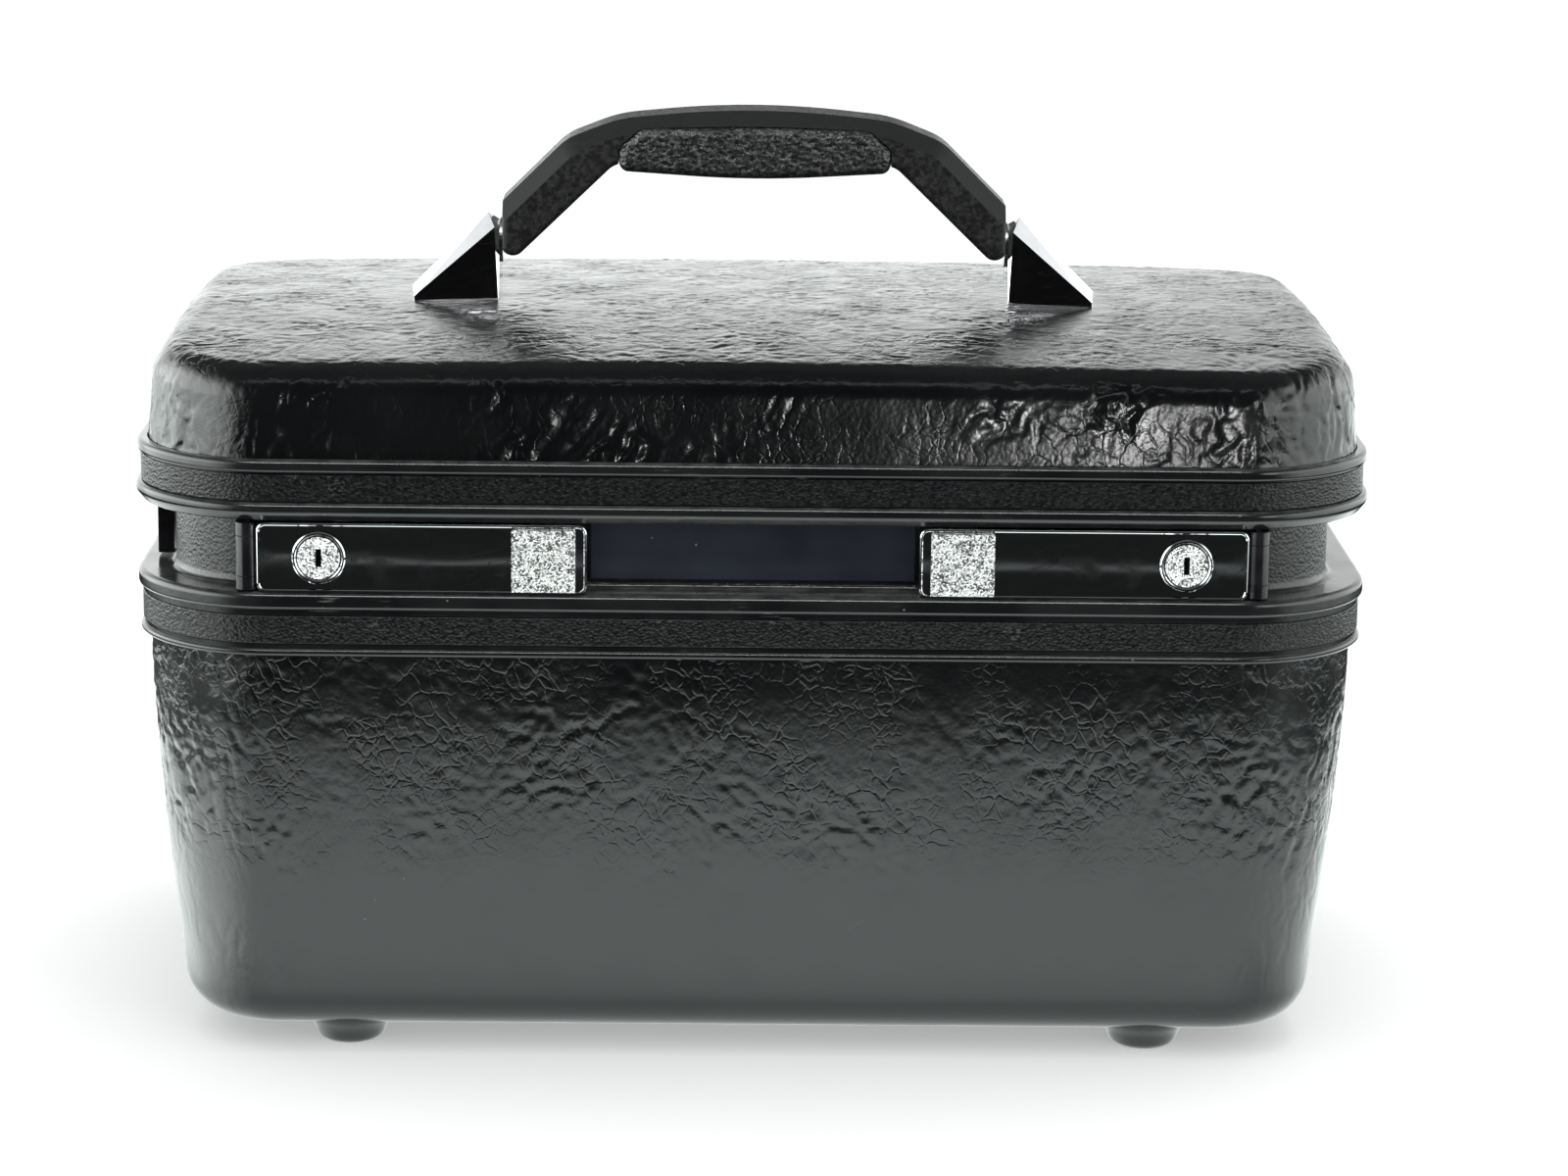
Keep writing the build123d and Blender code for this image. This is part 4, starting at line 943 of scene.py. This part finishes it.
def make_chrome():
    tint = (0.80, 0.81, 0.83)
    m = Mat("chrome_mirror", tint, rough=0.04, metal=1.0)
    smear = m.noise(mm=9, detail=4, rough=0.65)
    hair = m.ridge(mm=14, rot=(0, 15, 0), stretch=(0.15, 1, 3), width=0.004, warp_mm=12,
                   seed=2.0)
    m.set("Base Color", m.mix(m.range(smear, over=(0.35, 0.7)),
                              low=tint, high=tuple(c * 0.9 for c in tint)))
    m.set("Roughness", m.math("ADD", m.range(smear, over=(0.45, 0.75), to=(0.025, 0.09)),
                              m.product(hair, 0.14)))
    ripple = m.noise(mm=22, detail=1, src=m.map(scale=(0.5, 1, 2.2)))
    m.set("Normal", m.bump(ripple, mm=0.012))
    return m.m


def make_sparkle(name, cell):
    m = Mat(name, (0.86, 0.86, 0.85), rough=0.22, metal=1.0)
    flakes = m.voronoi(mm=cell)
    shade = m.split(flakes.node.outputs["Color"])[0]
    grain = m.noise(mm=cell * 1.3, detail=2, rough=0.7)
    m.set("Normal", m.bump(m.math("ADD", flakes, m.product(grain, 0.9)), mm=0.15))
    blot = m.mottle(mm=3.6, detail=3, rough=0.6, over=(0.35, 0.62), to=(-0.14, 0.16))
    grit = m.math("SUBTRACT", shade, blot)
    m.set("Base Color", m.mix(m.range(grit, over=(0.12, 0.50)),
                              low=(0.09, 0.09, 0.09), high=(0.92, 0.92, 0.91)))
    m.set("Roughness", m.range(grain, over=(0.3, 0.7), to=(0.20, 0.42)))
    return m.m


def make_steel():
    m = Mat("plated_steel", (0.52, 0.52, 0.53), rough=0.3, metal=1.0)
    brushed = m.noise(mm=0.5, detail=2, rough=0.6, src=m.map(scale=(0.08, 1, 1)))
    m.set("Base Color", m.mix(m.mottle(mm=7, detail=3, over=(0.35, 0.7)),
                              low=(0.56, 0.56, 0.57), high=(0.36, 0.36, 0.36)))
    m.set("Roughness", m.range(brushed, over=(0.3, 0.7), to=(0.22, 0.42)))
    m.set("Normal", m.bump(brushed, mm=0.01))
    return m.m


def make_handle():
    m = Mat("handle_leathery", (0.016, 0.016, 0.0165), rough=0.5, spec=0.16)
    local = m.node("VectorTransform", vector_type="NORMAL", convert_from="WORLD",
                   convert_to="OBJECT")
    m.feed(local.inputs[0], m.node("NewGeometry").outputs["Normal"])
    facing = m.split(local.outputs[0])
    # pebbled on the front, rear and underside, smooth and dull on top
    side = m.range(m.math("ABSOLUTE", facing[1]), over=(0.80, 0.95))
    under = m.range(facing[2], over=(-0.2, 0.0), to=(1.0, 0.0))
    m.set("Specular IOR Level", m.range(facing[2], over=(0.80, 0.97), to=(0.14, 0.008)))
    pebbled = m.math("MAXIMUM", side, under)
    cells = m.pebbles(mm=1.15, smoothness=0.4)
    grit = m.noise(mm=1.4, detail=3, rough=0.6)
    height = m.product(m.weigh(cells, grit, weights=(0.8, 0.7)), pebbled)
    m.set("Normal", m.bump(height, mm=0.20, under=m.bump(m.noise(mm=0.5, detail=1), mm=0.008)))
    col = m.mix(m.range(grit, over=(0.35, 0.7)),
                low=(0.008, 0.008, 0.0085), high=(0.026, 0.026, 0.0265))
    m.set("Base Color", m.mix(pebbled, low=(0.0105, 0.0108, 0.011), high=col))
    rough = m.range(grit, over=(0.3, 0.7), to=(0.40, 0.56))
    m.set("Roughness", m.math("SUBTRACT", rough, m.product(m.invert(pebbled), 0.06)))
    return m.m


def make_grip():
    m = Mat("grip_pebbled_rubber", (0.020, 0.020, 0.0205), rough=0.36)
    cells = m.pebbles(mm=1.5, smoothness=0.3, src=m.map(scale=(0.8, 1, 1.05)))
    grit = m.noise(mm=1.7, detail=3, rough=0.62)
    m.set("Normal", m.bump(m.weigh(cells, grit, weights=(1.0, 0.8)), mm=0.62))
    m.set("Base Color", m.mix(m.range(grit, over=(0.4, 0.7)),
                              low=(0.010, 0.010, 0.0105), high=(0.036, 0.036, 0.036)))
    m.set("Roughness", m.range(grit, over=(0.3, 0.7), to=(0.22, 0.34)))
    return m.m


def make_lining():
    m = Mat("lining_taffeta", (0.30, 0.27, 0.26), rough=0.55)
    threads = []
    for direction in ("X", "DIAGONAL"):
        wave = m.node("TexWave", wave_type="BANDS", bands_direction=direction)
        wave.inputs["Scale"].default_value = 700
        wave.inputs["Distortion"].default_value = 1.5
        m.feed(wave.inputs["Vector"], m.co)
        threads.append(wave.outputs["Fac"])
    weave = m.product(*threads)
    m.set("Normal", m.bump(weave, mm=0.05, under=m.bump(m.noise(mm=4, detail=3), mm=0.08)))
    # painted shade: the cloth darkens towards (0.10, 0.088, 0.083) in the quilting's valleys
    valley_shade = m.node("Attribute", attribute_name="quilt_valley_shade").outputs["Fac"]
    cloth = m.mix(m.mottle(mm=16, detail=3, over=(0.3, 0.7)),
                  low=(0.285, 0.258, 0.247), high=(0.312, 0.284, 0.272))
    m.set("Base Color", m.mix(m.product(valley_shade, 0.62), low=cloth, high=(0.10, 0.088, 0.083)))
    m.set("Roughness", m.range(weave, over=(0.0, 1.0), to=(0.42, 0.62)))
    m.set("Sheen Weight", 0.5)
    m.set("Sheen Roughness", 0.35)
    return m.m


def make_tray():
    m = Mat("tray_moulded", (0.36, 0.335, 0.32), rough=0.38)
    m.set("Base Color", m.mix(m.mottle(mm=25, detail=3, over=(0.3, 0.7)),
                              low=(0.33, 0.305, 0.29), high=(0.38, 0.355, 0.34)))
    m.set("Normal", m.bump(m.noise(mm=0.8, detail=2), mm=0.03))
    m.set("Roughness", m.mottle(mm=10, detail=3, over=(0.3, 0.7), to=(0.32, 0.46)))
    return m.m


def make_mirror():
    m = Mat("mirror_silvered", (0.90, 0.92, 0.92), rough=0.01, metal=1.0)
    m.set("Roughness", m.mottle(mm=30, detail=4, rough=0.65, over=(0.55, 0.8),
                                to=(0.008, 0.05)))
    return m.m


BY_SLOT = {
    "shell_black": make_shell(),
    "rim_black": make_rim(),
    "band_black": make_band(),
    "panel_black": make_panel(),
    "latch_black": make_gloss_black("latch_gloss_black"),
    "chrome": make_chrome(),
    "steel": make_steel(),
    "speckled_silver": make_sparkle("speckled_silver", cell=0.42),
    "handle_black": make_handle(),
    "grip_black": make_grip(),
    "lining_fabric": make_lining(),
    "tray_plastic": make_tray(),
    "mirror": make_mirror(),
}
LOCK_SILVER = make_sparkle("speckled_silver_fine", cell=0.36)
# dark gloss black painted as shade into the lock cylinders' gap and keyway
LOCK_RECESS_SHADE = make_gloss_black("lock_recess_painted_shade")


def recess_shade_faces(ob, name):
    """1 for the faces of a lock cylinder that get painted shade in dark gloss black: the gap
    round the plug and the keyway.
    Metres, y counted from the front."""
    low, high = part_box(name)
    cx, cz = (low.x + high.x) / 2, (low.z + high.z) / 2
    slots = np.zeros(len(ob.data.polygons), np.int32)
    for k, poly in enumerate(ob.data.polygons):
        c = poly.center
        gap = math.hypot(c.x - cx, c.z - cz) > 0.0059 and c.y < low.y + 0.0006
        keyway = (abs(c.x - cx) < 0.0012 and abs(c.z - cz) < 0.0027
                  and low.y + 0.0001 < c.y < low.y + 0.0030)
        slots[k] = gap or keyway
    return slots


for sub in frame["record"]["subparts"]:
    name = sub["node"]
    piece = NODES[name]
    piece.data.materials.clear()
    if name.startswith("lock_cylinder"):
        piece.data.materials.append(LOCK_SILVER)
        # painted shade on the faces of the plug's gap and keyway
        piece.data.materials.append(LOCK_RECESS_SHADE)
        slots = recess_shade_faces(piece, name)
    else:
        piece.data.materials.append(BY_SLOT[sub["material_slot"]])
        slots = np.zeros(len(piece.data.polygons), np.int32)
    piece.data.polygons.foreach_set("material_index", slots)


def dress(ob, body, slot, *nodes):
    """Give a built piece its material, its body and the nodes it stands in for."""
    ob.data.materials.append(BY_SLOT[slot])
    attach(ob, body)
    if nodes:
        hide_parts(*nodes)


dress(tub, "base", "shell_black", "base_shell")
for foot in feet:
    dress(foot, "base", "shell_black")
dress(lid, "lid", "shell_black", "lid_shell")
dress(tub_lining, "base", "lining_fabric", "base_lining")
dress(lid_lining, "lid", "lining_fabric", "lid_lining")
dress(pocket, "base", "lining_fabric", "pocket_back")


# ---------------------------------------------------------------------- floor
def make_floor_material():
    """Pale and matt to the eye; in reflections, bright plates at set places.
    Distances are in metres."""
    mat = bpy.data.materials.new("floor_pale")
    m = Nodes(mat)
    out = m.node("OutputMaterial")
    is_glossy = m.node("LightPath").outputs["Is Glossy Ray"]
    matt = m.node("BsdfDiffuse")
    matt.inputs[0].default_value = (0.80, 0.80, 0.80, 1)
    lift = m.node("Emission")
    lift.inputs[0].default_value = (1, 1, 1, 1)
    lift.inputs[1].default_value = 0.34
    seen = m.node("AddShader")
    m.feed(seen.inputs[0], matt.outputs[0])
    m.feed(seen.inputs[1], lift.outputs[0])

    # distance from a rectangle under the case
    geometry = m.node("NewGeometry")
    place = m.split(geometry.outputs["Position"])
    beyond = [m.math("MAXIMUM", m.math("SUBTRACT", m.math("ABSOLUTE", place[axis]), half), 0.0)
              for axis, half in ((0, 0.175), (1, 0.108))]
    squares = [m.product(d, d) for d in beyond]
    dist = m.math("SQRT", m.math("ADD", *squares))
    apron = m.range(dist, over=(0.13, 0.29), to=(2.6, 0.012), kind="SMOOTHERSTEP")
    # painted contact shadow: the reflected glow drops to 0.55 of itself at the case and
    # recovers within 4 cm
    contact_shadow = m.range(dist, over=(0.0, 0.04), to=(0.55, 1.0))
    incoming = m.split(geometry.outputs["Incoming"])
    far = m.range(dist, over=(0.42, 0.75))
    left = m.product(m.range(incoming[0], over=(0.50, 0.88), to=(0.0, 4.6)), far)
    right = m.product(m.range(incoming[0], over=(-0.55, -0.90), to=(0.0, 2.6)), far)
    rear = m.product(m.range(incoming[1], over=(0.1, -0.5), to=(0.0, 2.0)), far)
    glow = m.math("MAXIMUM", m.math("MAXIMUM", left, right), rear)
    boost = m.range(incoming[0], over=(0.50, 0.88), to=(1.0, 1.9))
    near = m.product(apron, contact_shadow, boost)
    # a faint far line, as of a table edge
    line = m.product(m.range(dist, over=(0.652, 0.660), to=(0.0, 0.11)),
                     m.range(dist, over=(0.662, 0.672), to=(1.0, 0.0)))
    glow = m.math("MAXIMUM", m.math("MAXIMUM", glow, near), line)
    reflected = m.node("Emission")
    reflected.inputs[0].default_value = (0.93, 1.0, 0.98, 1)
    m.feed(reflected.inputs[1], glow)
    choose = m.node("MixShader")
    for socket, source in zip(choose.inputs, (is_glossy, seen.outputs[0],
                                              reflected.outputs[0])):
        m.feed(socket, source)
    m.feed(out.inputs[0], choose.outputs[0])
    return mat


FLOOR_HALF = 9.0                # metres
mesh = bpy.data.meshes.new("floor")
mesh.from_pydata([(sx * FLOOR_HALF, sy * FLOOR_HALF, 0)
                  for sx, sy in ((-1, -1), (1, -1), (1, 1), (-1, 1))], [], [(0, 1, 2, 3)])
floor = bpy.data.objects.new("floor", mesh)
bpy.context.scene.collection.objects.link(floor)
floor.data.materials.append(make_floor_material())
floor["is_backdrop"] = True


# ---------------------------------------------------------------------- world
def make_world():
    """Soft white all round for matt light; in reflections the back and the sides are
    bright, overhead is softer and the front is nearly black."""
    world = bpy.data.worlds.new("studio")
    bpy.context.scene.world = world
    w = Nodes(world)
    out = w.node("OutputWorld")
    background = w.node("Background")
    w.feed(out.inputs[0], background.outputs[0])
    is_glossy = w.node("LightPath").outputs["Is Glossy Ray"]
    x, y, z = w.split(w.node("TexCoord").outputs["Generated"])
    back = w.range(y, over=(-0.25, 0.60))
    high = w.range(z, over=(0.60, 0.92))
    low_band = w.range(z, over=(0.30, 0.60), to=(1.0, 0.03))
    dim_right = w.range(x, over=(0.02, 0.16), to=(1.0, 0.70))
    glow = w.product(back, low_band, dim_right, 2.15)
    side_band = w.range(z, over=(0.42, 0.85), to=(1.0, 0.04))
    left = w.product(w.range(x, over=(-0.45, -0.90)), side_band)
    right = w.product(w.range(x, over=(0.42, 0.80)), side_band)
    glow = w.math("MAXIMUM", glow, w.product(left, 6.5))
    glow = w.math("MAXIMUM", glow, w.product(right, 3.2))
    glow = w.math("ADD", w.math("ADD", glow, w.product(high, 0.10)), 0.004)
    choose = w.node("Mix", data_type="FLOAT")
    for socket, value in zip(choose.inputs, (is_glossy, None, 0.92, glow)):
        if value is not None:             # input 1 serves another data type
            w.feed(socket, value)
    w.feed(background.inputs[1], choose.outputs[0])
    background.inputs[0].default_value = (0.97, 1.0, 0.99, 1)


make_world()


# --------------------------------------------------------------------- lights
def area(name, loc, target, size, power, glossy=False, size_y=None, only=None):
    """An area light aimed at target; only is a collection it is limited to."""
    light = bpy.data.lights.new(name, "AREA")
    light.energy = power
    light.size = size
    if size_y:
        light.shape = "RECTANGLE"
        light.size_y = size_y
    ob = bpy.data.objects.new(name, light)
    bpy.context.scene.collection.objects.link(ob)
    ob.location = loc
    ob.rotation_mode = "QUATERNION"
    ob.rotation_quaternion = (Vector(target) - Vector(loc)).to_track_quat("-Z", "Y")
    ob.visible_glossy = glossy
    ob.visible_camera = False
    if only:
        ob.light_linking.receiver_collection = only


def collect(name, objects):
    made = bpy.data.collections.new(name)
    for ob in objects:
        made.objects.link(ob)
    return made


area("soft_top", loc=(0.1, 0.25, 1.6), target=(0, 0, 0.1), size=1.2, power=8)
pieces = list(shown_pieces())
trim = collect("trim", [ob for ob in pieces if ob not in (tub, lid)])
grain = collect("grain", [ob for ob in pieces if ob in (tub, lid)])
# one bar above the front, much weaker on the grained shells
for name, power, only in (("front_bar", 23, trim), ("front_bar_soft", 1.1, grain)):
    area(name, loc=(-0.15, -1.15, 1.75), target=(0, 0, 0.15), size=1.5, size_y=0.22,
         power=power, glossy=True, only=only)
area("lid_patch", loc=(0.29, -1.30, 0.150), target=(0.12, -0.1, 0.186), size=0.12,
     size_y=0.09, power=1.5, glossy=True, only=collect("only_lid", [lid]))
area("front_low", loc=(0.75, -1.05, 0.42), target=(0.1, 0, 0.15), size=0.25, size_y=0.6,
     power=1.6, glossy=True)

# --------------------------------------------------------------------- camera
PITCH, YAW, ROLL = math.radians(12.85), math.radians(0.90), math.radians(0.735)
AIM = Vector((10.28, 0, 116.3)) * MM
CAMERA_DISTANCE = 1.331         # metres

forward = Vector((math.sin(YAW) * math.cos(PITCH), math.cos(YAW) * math.cos(PITCH),
                  -math.sin(PITCH)))
level = Vector((math.cos(YAW), -math.sin(YAW), 0))
upward = level.cross(forward)
camera_x = math.cos(ROLL) * level + math.sin(ROLL) * upward
camera_y = -math.sin(ROLL) * level + math.cos(ROLL) * upward
eye = AIM - forward * CAMERA_DISTANCE
camera_data = bpy.data.cameras.new("camera")
camera_data.lens = 101.25
camera_data.sensor_width = 36
camera_data.clip_start, camera_data.clip_end = 0.05, 50
camera = bpy.data.objects.new("camera", camera_data)
bpy.context.scene.collection.objects.link(camera)
pose = Matrix.Identity(4)
for column, axis in enumerate((camera_x, camera_y, -forward, eye)):
    for row in range(3):
        pose[row][column] = axis[row]
camera.matrix_world = pose
bpy.context.scene.camera = camera

# -------------------------------------------------------------- bracket cards
CARD_DISTANCE = 1.1             # metres
CARD_SIZE = 0.7
CARD_POWERS = (3.6, 0.55)       # for the largest sloping face and the next


def add_bracket_cards(name):
    """Pale cards for a handle bracket, placed where its sloping faces reflect them."""
    slopes = {}                 # rounded normal: area, and area-weighted normal and centre
    for poly in NODES[name].data.polygons:
        n = poly.normal
        if n.z > 0.3 and abs(n.x) > 0.3 and n.dot((poly.center - eye).normalized()) < -0.02:
            key = tuple(round(v, 1) for v in n)
            size, normals, centres = slopes.get(key, (0.0, Vector(), Vector()))
            slopes[key] = (size + poly.area, normals + n * poly.area,
                           centres + poly.center * poly.area)
    only = collect("only_" + name, [NODES[name]])
    largest = sorted(slopes.values(), key=lambda slope: -slope[0])
    for k, ((size, normals, centres), power) in enumerate(zip(largest, CARD_POWERS)):
        normal, centre = normals.normalized(), centres / size
        view = (centre - eye).normalized()
        bounce = view - 2 * view.dot(normal) * normal
        area("card_%s_%d" % (name, k), loc=centre + bounce * CARD_DISTANCE, target=centre,
             size=CARD_SIZE, power=power, glossy=True, only=only)


for name in ("bracket_left", "bracket_right"):
    add_bracket_cards(name)

bpy.context.scene.view_settings.view_transform = "Standard"
bpy.context.scene.view_settings.look = "None"
